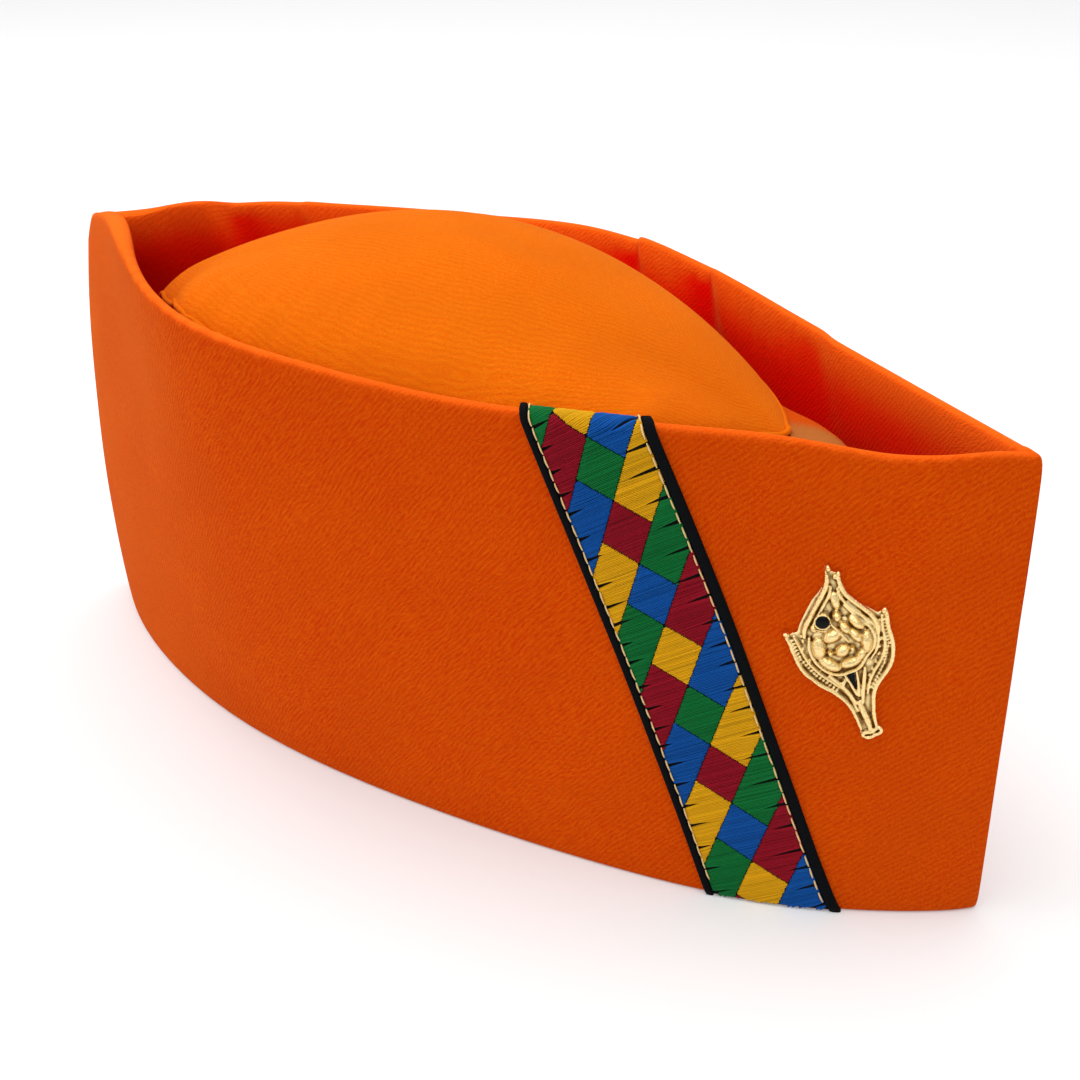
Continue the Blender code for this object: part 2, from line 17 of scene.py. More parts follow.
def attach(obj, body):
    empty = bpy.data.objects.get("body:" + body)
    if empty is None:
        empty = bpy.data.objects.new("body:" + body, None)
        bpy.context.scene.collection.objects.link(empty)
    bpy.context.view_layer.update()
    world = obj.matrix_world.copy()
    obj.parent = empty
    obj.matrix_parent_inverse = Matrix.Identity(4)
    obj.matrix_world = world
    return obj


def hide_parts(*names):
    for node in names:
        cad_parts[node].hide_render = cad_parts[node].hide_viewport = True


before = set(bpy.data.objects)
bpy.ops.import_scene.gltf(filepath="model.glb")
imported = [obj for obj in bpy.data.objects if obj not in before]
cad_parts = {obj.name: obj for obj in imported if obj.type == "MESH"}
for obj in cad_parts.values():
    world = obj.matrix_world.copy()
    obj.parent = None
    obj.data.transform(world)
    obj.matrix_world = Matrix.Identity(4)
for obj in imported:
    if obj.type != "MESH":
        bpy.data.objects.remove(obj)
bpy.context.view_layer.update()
MM = 0.001

# Turn-up: a doubled wool-blend wall, folded up from the foot and turned over at the rim, with a
# pressed crease in front and a soft roll at the back. Creases draw the far side in where its inner
# layer was caught. Shade inside the fold and beside the creases is painted into the colour as a
# deeper red, and a painted highlight brightens both rims and the top of the far wall's inner face.
CLOTH_DEEP = (0.52, 0.025, 0.0002, 1.0)
CLOTH_BRIGHT = (0.695, 0.098, 0.0009, 1.0)
# Painted highlight colour: the rims and the top of the far wall's inner face are coloured brighter, as if
# lit.
CLOTH_HIGHLIGHT = (1.0, 0.14, 0.009, 1.0)
# Painted shade colour: the deep red of shade inside the fold and beside the creases.
FOLD_SHADE_RED = (0.76, 0.002, 0.0002, 1.0)
TWILL_PITCH = 0.95
TWILL_RUN = Vector((-0.78, 0.36, 0.62))
STROKE_LONG, STROKE_WIDE = 2.3, 0.28
STROKE_LEAN, STRAY_LEAN = -0.82, 0.2
WALL = 3.0
CAP_END = 133.8
# x, how far the wall is drawn in just behind the crease and over what length, the same just ahead
# of the crease, and how far down from the rim the crease reaches
FAR_CREASES = (
    (-100.0, 2.6, 14.0, -2.4, 10.0, 60.0),
    (-80.0, -1.2, 8.0, 1.2, 10.0, 40.0),
    (-30.0, 0.6, 9.0, -0.5, 9.0, 30.0),
    (15.6, -2.8, 12.0, 2.2, 8.0, 60.0),
    (38.7, -3.2, 11.0, 2.8, 14.0, 70.0),
    (72.0, -1.8, 14.0, 1.0, 14.0, 50.0),
)
# A crease is sharp at the rim, and leans forward and widens going down
CREASE_SHARPNESS, CREASE_WIDENING = 1.5, 0.06
CREASE_TILT = 0.3
# Near the rim the cloth also rises, by a share of how far it is drawn in: two x, then two shares
CREASE_LIFTS = (-60.0, 0.0), (0.36, 0.55)
CREASE_LIFT_REACH = 14.0
MIDDLE_Y = 2.0
FAR_FROM, FAR_FADE = 3.0, 12.0
FAR_RIM = 117.0
FINE_FROM_Y, FINE_FROM_Z = 8.0, 62.0
RIM_CELL = 4
# How much painted shade, as a deeper red, lies in the fold: x and share. It starts this far below
# the rim, and reaches its share over this drop.
FOLD_SHADE_SHARES = ((-130.0, 0.9), (0.0, 0.95), (60.0, 0.95), (98.0, 0.9), (125.0, 0.5))
FOLD_SHADE_FROM, FOLD_SHADE_DROP = 1.0, 10.0
# Shade is painted as a deeper red too where the far wall is let out beside a crease: its share
# where the wall is straight, how far out adds a whole share, over what drop it builds up, and its strength
RECESS_SHADE_START, RECESS_SHADE_DEPTH, RECESS_SHADE_DROP, RECESS_SHADE_SHARE = 0.15, 3.0, 5.0, 0.9
# Painted highlight: its strength and how far down it reaches, at both rims and on the far wall's
# inner face. The near rim's painted highlight is stronger towards the back.
FAR_HIGHLIGHT, NEAR_HIGHLIGHT = (0.9, 2.5), (0.7, 0.9)
BACK_HIGHLIGHT, BACK_HIGHLIGHT_FROM, BACK_HIGHLIGHT_LENGTH = 0.5, 20.0, 60.0
INNER_HIGHLIGHT, INNER_HIGHLIGHT_REACH = 0.95, 7.5
SLACK_DEPTH, SLACK_LENGTH, SLACK_FOOT = 0.45, 34.0, 30.0
# About how high the near rim is: in front, and what is added at x = 0 and for each millimetre back
NEAR_RIM_FRONT, NEAR_RIM_RISE, NEAR_RIM_SLOPE = 105.0, 8.0, 0.14
# x, half length and rise of the slow waves along the near rim
NEAR_RIM_WAVES = ((108.0, 10.0, -0.9), (124.5, 5.0, 0.6), (84.0, 9.0, 0.3), (0.0, 24.0, 0.5))
WAVE_REACH = 24.0
# The padded roll at the back: how much thicker it is, and where it starts and is full on each side.
# Its thickening turns to run along the cap near the end, and sags a little.
ROLL_EXTRA = 3.8
ROLL_REACH = (-52.0, -104.0), (-104.0, -122.0)
ROLL_LEVEL = 108.0
ROLL_DEPTH = 20.0
ROLL_TURN_FROM, ROLL_TURN_LENGTH = -108.0, 16.0
ROLL_SAG = 0.3
# How far each pressed end is rounded off along the cap and downwards, and its height: at the back
# and in front
BACK_ROUND, FRONT_ROUND = (3.6, 5.0, 114.0), (2.4, 2.4, 105.5)


def node(tree, kind, values=None, **settings):
    """Adds a shader node, and sets or links its inputs."""
    made = tree.nodes.new(kind)
    for name, value in settings.items():
        setattr(made, name, value)
    for place, value in (values or {}).items():
        if isinstance(value, bpy.types.NodeSocket):
            tree.links.new(value, made.inputs[place])
        else:
            made.inputs[place].default_value = value
    return made


def maths(tree, operation, first, second=0.0, third=0.0):
    made = node(tree, "ShaderNodeMath", {0: first, 1: second, 2: third}, operation=operation)
    return made.outputs[0]


def effect(name, inputs, outputs):
    """An empty shader group with named sockets, and its two ends."""
    group = bpy.data.node_groups.new(name, "ShaderNodeTree")
    for socket, kind in inputs:
        group.interface.new_socket(socket, in_out="INPUT", socket_type="NodeSocket" + kind)
    for socket, kind in outputs:
        group.interface.new_socket(socket, in_out="OUTPUT", socket_type="NodeSocket" + kind)
    return group, node(group, "NodeGroupInput").outputs, node(group, "NodeGroupOutput").inputs


def finish(name, **constants):
    """A material, its node tree and its shader, with the shader's plain values set."""
    made = bpy.data.materials.new(name)
    made.use_nodes = True
    shader = made.node_tree.nodes["Principled BSDF"]
    for socket, value in constants.items():
        shader.inputs[socket.replace("_", " ")].default_value = value
    return made, made.node_tree, shader.inputs


def millimetres(tree):
    """The piece's own coordinates, in millimetres."""
    place = node(tree, "ShaderNodeTexCoord").outputs["Object"]
    scaled = node(tree, "ShaderNodeVectorMath", {0: place, "Scale": 1000.0}, operation="SCALE")
    return scaled.outputs[0]


def mixed(tree, share, first, second):
    """A colour between two others."""
    mix = node(
        tree,
        "ShaderNodeMix",
        {0: share, 6: first, 7: second},
        data_type="RGBA",
        clamp_factor=True,
    )
    return mix.outputs[2]


def noise_at(tree, vector, scale, detail):
    values = {"Vector": vector, "Scale": scale, "Detail": detail, "Roughness": 0.6}
    return node(tree, "ShaderNodeTexNoise", values).outputs


def strokes(tree, vector, lean, scale):
    """Noise that is drawn out into short strokes, as brushed hairs lie."""
    size = (STROKE_LONG * scale, STROKE_WIDE * scale, STROKE_WIDE * scale)
    values = {"Vector": vector, "Rotation": (0.25, lean, 0.0), "Scale": size}
    drawn = node(tree, "ShaderNodeMapping", values, vector_type="TEXTURE").outputs[0]
    return noise_at(tree, drawn, 1.0, 2.0)["Fac"]


def sharpened(tree, value, middle, gain, floor=0.5):
    """Stretches a value about its middle, and holds it between 0 and 1."""
    moved = maths(tree, "SUBTRACT", value, middle)
    stretched = node(tree, "ShaderNodeMath", {0: moved, 1: gain, 2: floor}, operation="MULTIPLY_ADD")
    stretched.use_clamp = True
    return stretched.outputs[0]


napped_twill, take, give = effect(
    "napped_twill",
    (("Deep", "Color"), ("Bright", "Color"), ("Ribs", "Float"), ("Swirl", "Float")),
    (("Color", "Color"), ("Height", "Float"), ("Hairs", "Float")),
)
spot = millimetres(napped_twill)
drift = noise_at(napped_twill, spot, 0.035, 1.0)["Color"]
drift = node(
    napped_twill, "ShaderNodeVectorMath", {0: drift, 1: (0.5, 0.5, 0.5)}, operation="SUBTRACT"
).outputs[0]
swirl = node(
    napped_twill, "ShaderNodeVectorMath", {0: drift, "Scale": take["Swirl"]}, operation="SCALE"
).outputs[0]
brushed = node(napped_twill, "ShaderNodeVectorMath", {0: spot, 1: swirl}).outputs[0]
woven = node(napped_twill, "ShaderNodeAttribute", attribute_name="weave").outputs["Fac"]
wander = noise_at(napped_twill, spot, 0.12, 2.0)["Fac"]
woven = maths(napped_twill, "MULTIPLY_ADD", wander, 2.4, woven)
rib = maths(napped_twill, "SINE", maths(napped_twill, "MULTIPLY", woven, math.tau / TWILL_PITCH))
rib = maths(napped_twill, "MULTIPLY", maths(napped_twill, "MULTIPLY_ADD", rib, 0.5, 0.5), take["Ribs"])
hairs = sharpened(napped_twill, strokes(napped_twill, brushed, STROKE_LEAN, 1.0), 0.5, 3.2)
stray = sharpened(napped_twill, strokes(napped_twill, brushed, STRAY_LEAN, 0.8), 0.58, 7.0, 0.0)
cloud = sharpened(napped_twill, noise_at(napped_twill, spot, 0.028, 3.0)["Fac"], 0.5, 1.8)
tone = maths(napped_twill, "MULTIPLY_ADD", hairs, 0.50, rib)
tone = maths(napped_twill, "MULTIPLY_ADD", cloud, 0.20, tone)
tone = maths(napped_twill, "MULTIPLY_ADD", stray, 0.40, tone)
napped_twill.links.new(mixed(napped_twill, tone, take["Deep"], take["Bright"]), give["Color"])
height = maths(napped_twill, "MULTIPLY_ADD", rib, 2.0, maths(napped_twill, "MULTIPLY", hairs, 0.8))
height = maths(napped_twill, "MULTIPLY_ADD", stray, 0.5, height)
napped_twill.links.new(height, give["Height"])
napped_twill.links.new(hairs, give["Hairs"])


def napped_cloth(name, deep, bright, ribs=0.24, swirl=11.0, sheen_patch=None):
    """Wool-blend twill with a short brushed nap, a painted highlight at its rim and painted shade as a
    deeper red inside the fold.
    """
    made, tree, shader = finish(
        name,
        Roughness=0.95,
        Specular_IOR_Level=0.02,
        Sheen_Weight=0.14,
        Sheen_Roughness=0.35,
        Sheen_Tint=(1.0, 0.75, 0.14, 1.0),
    )
    weave = node(tree, "ShaderNodeGroup", node_tree=napped_twill)
    for socket, value in (("Deep", deep), ("Bright", bright), ("Ribs", ribs), ("Swirl", swirl)):
        weave.inputs[socket].default_value = value
    colour = weave.outputs["Color"]
    # Painted shade: a deeper red where the fold attribute puts shade.
    fold = node(tree, "ShaderNodeAttribute", attribute_name="fold").outputs["Fac"]
    colour = mixed(tree, fold, colour, FOLD_SHADE_RED)
    # Painted sheen: a pale tan patch about a given middle, with a ragged edge from the hairs.
    if sheen_patch:
        middle, reach, tan = sheen_patch
        spot = millimetres(tree)
        away = node(tree, "ShaderNodeVectorMath", {0: spot, 1: middle}, operation="DISTANCE")
        sheen_share = maths(tree, "MULTIPLY_ADD", weave.outputs["Hairs"], 3.0, reach)
        sheen_share = sharpened(tree, maths(tree, "SUBTRACT", sheen_share, away.outputs["Value"]), 0.0, 0.25)
        colour = mixed(tree, sheen_share, colour, tan)
    # Painted highlight: a brighter colour where the highlight attribute is set.
    worn = node(tree, "ShaderNodeAttribute", attribute_name="worn").outputs["Fac"]
    worn = maths(tree, "MULTIPLY", worn, maths(tree, "MULTIPLY_ADD", weave.outputs["Hairs"], 0.35, 0.65))
    tree.links.new(mixed(tree, worn, colour, CLOTH_HIGHLIGHT), shader["Base Color"])
    bump = node(
        tree,
        "ShaderNodeBump",
        {"Strength": 0.7, "Distance": 0.17 * MM, "Height": weave.outputs["Height"]},
    )
    tree.links.new(bump.outputs[0], shader["Normal"])
    return made


def only(piece):
    """Makes a piece the one that is selected and active."""
    bpy.ops.object.select_all(action="DESELECT")
    piece.select_set(True)
    bpy.context.view_layer.objects.active = piece
    return piece


def merged_copy(cad_node, name):
    """A copy of a CAD node's mesh, merged and joined into four-sided faces."""
    piece = bpy.data.objects.new(name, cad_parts[cad_node].data.copy())
    bpy.context.collection.objects.link(piece)
    only(piece)
    bpy.ops.mesh.customdata_custom_splitnormals_clear()
    bpy.ops.object.mode_set(mode="EDIT")
    bpy.ops.mesh.select_all(action="SELECT")
    bpy.ops.mesh.remove_doubles(threshold=0.01 * MM)
    bpy.ops.mesh.tris_convert_to_quads(face_threshold=math.radians(50), shape_threshold=math.radians(80))
    bpy.ops.object.mode_set(mode="OBJECT")
    piece.data.materials.clear()
    return piece


def smoothed(piece, levels):
    """Subdivides a piece and shades it smooth."""
    soft = only(piece).modifiers.new("soft", "SUBSURF")
    soft.levels = soft.render_levels = levels
    bpy.ops.object.modifier_apply(modifier=soft.name)
    bpy.ops.object.shade_smooth()
    return piece


def held(piece, material, slot, *nodes):
    """Gives a piece its material and its body, and has it stand for its CAD nodes. The slot is not used."""
    if material:
        piece.data.materials.append(material)
    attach(piece, "root")
    if nodes:
        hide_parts(*nodes)
    return piece


def eased(share):
    """A smooth step from 0 to 1."""
    share = min(1.0, max(0.0, share))
    return share * share * (3 - 2 * share)


def give_values(piece, **named):
    """Stores one number for each point of a piece under each name."""
    for name, values in named.items():
        piece.data.attributes.new(name, "FLOAT", "POINT").data.foreach_set("value", values)


def twill_of(piece):
    """How far along its slanting run each point of the twill lies, in millimetres."""
    return [vertex.co.dot(TWILL_RUN) / MM for vertex in piece.data.vertices]


def tree_of(piece):
    """What rays are cast on to find a piece's surface."""
    bpy.context.view_layer.update()
    return BVHTree.FromObject(piece, bpy.context.evaluated_depsgraph_get())


def crease(x, drop):
    """How far the far wall is drawn in at x, this far below its rim."""
    total = 0.0
    for at, behind, behind_length, ahead, ahead_length, reach in FAR_CREASES:
        away = x - at - CREASE_TILT * drop
        share = 0.5 + 0.5 * math.tanh(away / (CREASE_SHARPNESS + CREASE_WIDENING * drop))
        drawn = behind * (1 - share) * math.exp(-((away / behind_length) ** 2))
        drawn += ahead * share * math.exp(-((away / ahead_length) ** 2))
        total += drawn * max(0.0, 1 - drop / reach)
    return total


def rolled(place, side):
    """Moves a point of the back's upper wall, so that the roll is thick and soft there."""
    start, full = ROLL_REACH[0 if side < 0 else 1]
    extra = ROLL_EXTRA * eased((start - place.x) / (start - full))
    extra *= eased((place.z - ROLL_LEVEL + ROLL_DEPTH) / ROLL_DEPTH)
    low = min(place.z, ROLL_LEVEL)
    ray_from = Vector((place.x, side * 200.0, low)) * MM
    hit, out, _, _ = plain_wall.ray_cast(ray_from, Vector((0, -side, 0)))
    if hit is None or extra <= 0:
        return place
    inwards = Vector((-out.x, -out.y, 0.0)).normalized()
    deep = min(1.0, max(0.0, (place - hit / MM).dot(inwards) / WALL))
    turned = eased((ROLL_TURN_FROM - place.x) / ROLL_TURN_LENGTH)
    inwards = inwards.lerp(Vector((1, 0, 0)), turned).normalized()
    return place + inwards * extra * deep - Vector((0, 0, extra * ROLL_SAG * deep))


def rounded_end(place):
    """How far down a point near a pressed end goes, so that its upper corner is round."""
    along, down, top = BACK_ROUND if place.x < 0 else FRONT_ROUND
    share = min(1.0, max(0.0, (abs(place.x) - CAP_END + along) / along))
    return down * (1 - math.sqrt(1 - share * share)) * eased(1 - (top - place.z) / (3 * down))


turn_up = smoothed(merged_copy("turn_up", "turn_up_cloth"), 2)
bpy.ops.object.mode_set(mode="EDIT")
bpy.ops.mesh.select_all(action="DESELECT")
bpy.ops.object.mode_set(mode="OBJECT")
for face in turn_up.data.polygons:
    face.select = face.center.y > FINE_FROM_Y * MM and face.center.z > FINE_FROM_Z * MM
bpy.ops.object.mode_set(mode="EDIT")
bpy.ops.mesh.subdivide(number_cuts=1)
bpy.ops.object.mode_set(mode="OBJECT")
plain_wall = tree_of(turn_up)
for vertex in turn_up.data.vertices:
    place = vertex.co / MM
    side = 1 if place.y > MIDDLE_Y else -1
    if place.x < ROLL_REACH[0][0] and place.z > ROLL_LEVEL - ROLL_DEPTH:
        place = rolled(place, side)
    if place.y > FAR_FROM:
        drop = max(0.0, FAR_RIM - place.z)
        drawn = crease(place.x, drop) * min(1.0, (place.y - FAR_FROM) / FAR_FADE)
        place.y -= drawn
        place.z += drawn * np.interp(place.x, *CREASE_LIFTS) * max(0.0, 1 - drop / CREASE_LIFT_REACH)
    elif place.z > 0:
        top = NEAR_RIM_FRONT + max(0.0, NEAR_RIM_RISE - place.x * NEAR_RIM_SLOPE)
        lifted = sum(rise * math.exp(-(((place.x - at) / half) ** 2)) for at, half, rise in NEAR_RIM_WAVES)
        place.z += lifted * eased(1 - (top - place.z) / WAVE_REACH)
    place.z -= rounded_end(place)
    slack = noise.noise(place / SLACK_LENGTH) * SLACK_DEPTH * min(1.0, place.z / SLACK_FOOT)
    place.y += slack * side
    vertex.co = place * MM
turn_up.data.update()

rim_tops = {}
for vertex in turn_up.data.vertices:
    key = (vertex.co.y > MIDDLE_Y * MM, round(vertex.co.x / MM / RIM_CELL))
    rim_tops[key] = max(rim_tops.get(key, 0.0), vertex.co.z / MM)
# For each point: how much painted highlight it gets, near the rims and high on the far wall's inner face,
# and how much painted shade, as a deeper red inside the fold and beside the creases.
worn, fold = [], []
for vertex in turn_up.data.vertices:
    place = vertex.co / MM
    far = place.y > MIDDLE_Y
    drop = rim_tops[(far, round(place.x / RIM_CELL))] - place.z
    inside = eased(2 * vertex.normal.y * (-1 if far else 1))
    strength, reach = FAR_HIGHLIGHT if far else NEAR_HIGHLIGHT
    recess_shade = inner_highlight_share = 0.0
    if far:
        # Painted shade beside a crease, where the far wall is let out.
        recess_shade = eased(RECESS_SHADE_START - crease(place.x, drop) / RECESS_SHADE_DEPTH) * eased(drop / RECESS_SHADE_DROP)
        # Painted highlight high on the far wall's inner face, which brightens it as light would.
        inner_highlight_share = INNER_HIGHLIGHT * inside * (1 - recess_shade) * math.exp(-((drop / INNER_HIGHLIGHT_REACH) ** 2))
    else:
        strength += BACK_HIGHLIGHT * eased((BACK_HIGHLIGHT_FROM - place.x) / BACK_HIGHLIGHT_LENGTH)
    worn.append(max(inner_highlight_share, strength * math.exp(-((drop / reach) ** 2))))
    # Painted shade inside the fold: more of it the further below the rim.
    deep = np.interp(place.x, *zip(*FOLD_SHADE_SHARES)) * eased((drop - FOLD_SHADE_FROM) / FOLD_SHADE_DROP)
    fold.append(inside * min(1.0, deep + RECESS_SHADE_SHARE * recess_shade))
give_values(turn_up, worn=worn, fold=fold, weave=twill_of(turn_up))
orange_cloth = napped_cloth("orange_cloth", CLOTH_DEEP, CLOTH_BRIGHT)
held(turn_up, orange_cloth, "cloth", "turn_up")
cloth_wall = tree_of(turn_up)

# Crown: an upright band inside the turn-up, and a leaf-shaped panel steamed into a dome and sewn to
# it. It lies snug against the near wall. The panel's nap is brushed; its colours are lighter and
# yellower than the wall's, which paints the light on the top into them. The band bulges in front of
# the seam, and a pale tan patch of painted sheen lies there.
# Painted light: the panel's colours are lighter, yellower copies of the wall's, for light falling on the
# top.
PANEL_LIT_DEEP = (0.68, 0.089, 0.0008, 1.0)
PANEL_LIT_BRIGHT = (0.76, 0.175, 0.003, 1.0)
# Painted sheen on the band's front: the patch's middle, its reach and its pale tan colour.
BAND_SHEEN_PATCH = ((86.0, 5.0, 93.0), 8.0, (0.44, 0.13, 0.028, 1.0))
SEAM_TIP = 1.3
# The crown's back end is pressed down: from what x, over what length and by how much, and only
# above this height, in full after this much more
TIP_FROM, TIP_LENGTH, TIP_DROP = -83.0, 18.0, 6.0
TIP_FOOT, TIP_HEIGHT = 60.0, 30.0
# The band's foot turns out lengthwise to meet the turn-up: by this share, over this height
FOOT_SPREAD, FOOT_TURN = 0.02, 4.0
SNUG_FROM, SNUG_FOOT = 0.45, 55.0
SNUG_GAP, SNUG_BELOW = 2.2, 3.2
SNUG_ENDS = (-74.0, 34.0), (79.0, 16.0)
BULGE_FROM = Vector((62.0, 2.0))
BULGE, BULGE_HEIGHT, BULGE_SPREAD = 8.0, 88.0, 12.0
BULGE_LENGTH, BULGE_TOP = 20.0, 5.0
BULGE_ASIDE, BULGE_LIFT = 0.6, 0.25
SEAM_FRONT = 98.0
WELT_RADIUS = 0.7
# Where the welt's points lie along each side of the seam, counted in half millimetres
WELT_BACK, WELT_FRONT, WELT_STEP = -198, 160, 3
# The far seam allowance shows through the panel as a shallow groove: where across, how wide, depth
GROOVE_SHARE, GROOVE_WIDTH, GROOVE_DEPTH = 0.46, 0.035, 0.6
GROOVE_ENDS = (-96.0, 12.0), (-4.0, 30.0)

side_band = smoothed(merged_copy("side_band", "side_band_cloth"), 2)
top_panel = smoothed(merged_copy("top_panel", "top_panel_cloth"), 2)
widest = {}
for vertex in top_panel.data.vertices:
    place = vertex.co / MM
    key = (place.y > MIDDLE_Y, round(place.x / 3))
    if key not in widest or abs(place.y - MIDDLE_Y) > abs(widest[key].y - MIDDLE_Y):
        widest[key] = place
seams = {}
for far in (False, True):
    line = sorted((place for (side, _), place in widest.items() if side == far), key=lambda place: place.x)
    seams[far] = np.array(line)


def seam_at(far, x):
    """The seam's place on the near or the far side at x."""
    line = seams[far]
    return Vector((x, np.interp(x, line[:, 0], line[:, 1]), np.interp(x, line[:, 0], line[:, 2])))


def snug_at(x):
    """How far the near seam moves out to the turn-up, and up towards its rim, at x."""
    seam = seam_at(False, x)
    (back, back_length), (front, front_length) = SNUG_ENDS
    fade = eased((x - back) / back_length) * eased((front - x) / front_length)
    rim = rim_tops.get((False, round(x / RIM_CELL)), 0.0)
    ray_from = Vector((x, seam.y, min(seam.z + 2.0, rim - 4.0))) * MM
    hit, _, _, away = cloth_wall.ray_cast(ray_from, Vector((0, -1, 0)))
    out = max(0.0, away / MM - SNUG_GAP) if hit else 0.0
    return x, out * fade, max(0.0, rim - SNUG_BELOW - seam.z) * fade


snug_table = np.array([snug_at(x) for x in range(-100, 80)])


def snugged(place, share_at):
    """A point of the crown's near side, moved out and up by its share of what the seam moves."""
    out = np.interp(place.x, snug_table[:, 0], snug_table[:, 1])
    up = np.interp(place.x, snug_table[:, 0], snug_table[:, 2])
    return place + Vector((0.0, -out, up)) * share_at(place, seam_at(False, place.x))


def panel_share(place, seam):
    return eased(((place.y - MIDDLE_Y) / (seam.y - MIDDLE_Y) - SNUG_FROM) / (1 - SNUG_FROM))


def band_share(place, seam):
    return eased((place.z - SNUG_FOOT) / (seam.z - SNUG_FOOT))


for piece, share_at in ((side_band, band_share), (top_panel, panel_share)):
    for vertex in piece.data.vertices:
        place = vertex.co / MM
        if place.y < MIDDLE_Y:
            place = snugged(place, share_at)
        upper = eased((place.z - TIP_FOOT) / TIP_HEIGHT)
        place.z -= TIP_DROP * eased((TIP_FROM - place.x) / TIP_LENGTH) * upper
        place.x *= 1 + FOOT_SPREAD * max(0.0, 1 - place.z / FOOT_TURN)
        if piece is side_band and place.x > BULGE_FROM.x:
            outwards = (place.xy - BULGE_FROM).normalized()
            bulge = BULGE * eased((place.x - BULGE_FROM.x) / BULGE_LENGTH)
            bulge *= eased((SEAM_FRONT - place.z) / BULGE_TOP)
            bulge *= math.exp(-(((place.z - BULGE_HEIGHT) / BULGE_SPREAD) ** 2))
            place += Vector((outwards.x, outwards.y * BULGE_ASIDE, BULGE_LIFT)) * bulge
        vertex.co = place * MM
    piece.data.update()
lines = []
for vertex in top_panel.data.vertices:
    place = vertex.co / MM
    far = place.y > MIDDLE_Y
    seam = seam_at(far, place.x)
    (back, back_length), (front, front_length) = GROOVE_ENDS
    if far:
        away = ((place.y - MIDDLE_Y) / (seam.y - MIDDLE_Y) - GROOVE_SHARE) / GROOVE_WIDTH
        fade = eased((place.x - back) / back_length) * eased((front - place.x) / front_length)
        vertex.co.z -= GROOVE_DEPTH * fade * math.exp(-away * away) * MM
    lines.append(abs(seam.y - place.y) * 0.8)
give_values(top_panel, weave=lines)
give_values(side_band, weave=twill_of(side_band))
band_cloth = napped_cloth("band_cloth", CLOTH_DEEP, CLOTH_BRIGHT, sheen_patch=BAND_SHEEN_PATCH)
held(side_band, band_cloth, "cloth", "side_band")
panel_cloth = napped_cloth("panel_cloth", PANEL_LIT_DEEP, PANEL_LIT_BRIGHT, ribs=0.22, swirl=16.0)
held(top_panel, panel_cloth, "cloth", "top_panel")

near_steps = range(WELT_BACK, WELT_FRONT, WELT_STEP)
far_steps = range(WELT_FRONT - 2, WELT_BACK, -WELT_STEP)
welt_line = [snugged(seam_at(False, step / 2), panel_share) for step in near_steps]
far_line = [seam_at(True, step / 2) for step in far_steps]
near_end = welt_line[-1]
for turn in (-60, -30, 0, 30, 60):
    place = near_end.lerp(far_line[0], 0.5 + 0.5 * math.sin(math.radians(turn)))
    place.x += SEAM_TIP * math.cos(math.radians(turn))
    welt_line.append(place)
welt_line += far_line
for place in welt_line:
    place.z -= TIP_DROP * eased((TIP_FROM - place.x) / TIP_LENGTH)
curve = bpy.data.curves.new("seam_welt", "CURVE")
curve.dimensions = "3D"
curve.bevel_depth = WELT_RADIUS * MM
curve.bevel_resolution = 2
spline = curve.splines.new("POLY")
spline.points.add(len(welt_line) - 1)
for point, place in zip(spline.points, welt_line):
    point.co = (*(place * MM), 1.0)
spline.use_cyclic_u = True
welt = bpy.data.objects.new("seam_welt", curve)
bpy.context.collection.objects.link(welt)
only(welt)
bpy.ops.object.convert(target="MESH")
bpy.ops.object.shade_smooth()
held(welt, panel_cloth, "cloth")

# Ribbon: a black ground strip, satin-stitched with coloured threads in diamonds, sewn up the near
# wall, over the rim and a little way down inside. It slants, so it is laid out flat first: s runs
# across it towards the front, t runs down it from the rim, and off is the height above the cloth.
RIBBON_X = 56.7
RIBBON_DRIFT = 0.386
WALL_TURN = 0.93
LEAN = math.atan(RIBBON_DRIFT / WALL_TURN)
RIM_RADIUS = 1.5
TUCK = 9.0
FOOT_CLEARANCE = 0.5
FIELD_LEFT, FIELD_RIGHT = -11.3, 11.1
GROUND_LOW, GROUND_TOP = 0.12, 0.42
THREAD_PITCH = 0.32
THREAD_HEIGHT = 0.42
DIAMOND_MIDDLE = -0.4
DIAMOND_HALF_WIDTH = 5.8
DIAMOND_HALF_LENGTH = 7.05
FIRST_DIAMOND = 8.9
THREAD_SKEW = 0.13
OUTLINE_GAP = 0.13
SATIN_COLOURS = (
    ("crimson_satin", (0.25, 0.001, 0.011, 1.0)),
    ("blue_satin", (0.0004, 0.072, 0.31, 1.0)),
    ("yellow_satin", (0.66, 0.34, 0.0015, 1.0)),
    ("green_satin", (0.0004, 0.14, 0.027, 1.0)),
)
THREAD_STEP = 1.1
# How much of its height a thread keeps at its ends, and how far its edges sink into the ground
THREAD_DIP, THREAD_SUNK = 0.55, 0.05
LAST_ROW = 124.0
SLIT_PITCH, SLIT_REACH = 5.2, 3.5
SLIT_LENGTHS = 5.0, 7.0
SLIT_HALF_WIDTH = 0.5
SLIT_BUNCHING = 0.8
# The ribbon's width at the rim, and what it gains for each millimetre down
HEAD_WIDTH, WIDTH_GAIN = 0.955, 0.00095
FLOOR_GAP = 0.05
STRIP_RINGS = 140
RANDOM = random.Random(7)


def outer_face(x, z):
    """The near wall's outer face at this x and height, and its outward direction."""
    hit, out, _, _ = cloth_wall.ray_cast(Vector((x, -200.0, z)) * MM, Vector((0, 1, 0)))
    return hit / MM, out


def rim_at(x):
    """Where the near wall's rim starts to turn over at x: its height."""
    y = outer_face(x, 98.0)[0].y + RIM_RADIUS
    hit, _, _, _ = cloth_wall.ray_cast(Vector((x, y, 200.0)) * MM, Vector((0, 0, -1)))
    return hit.z / MM - RIM_RADIUS


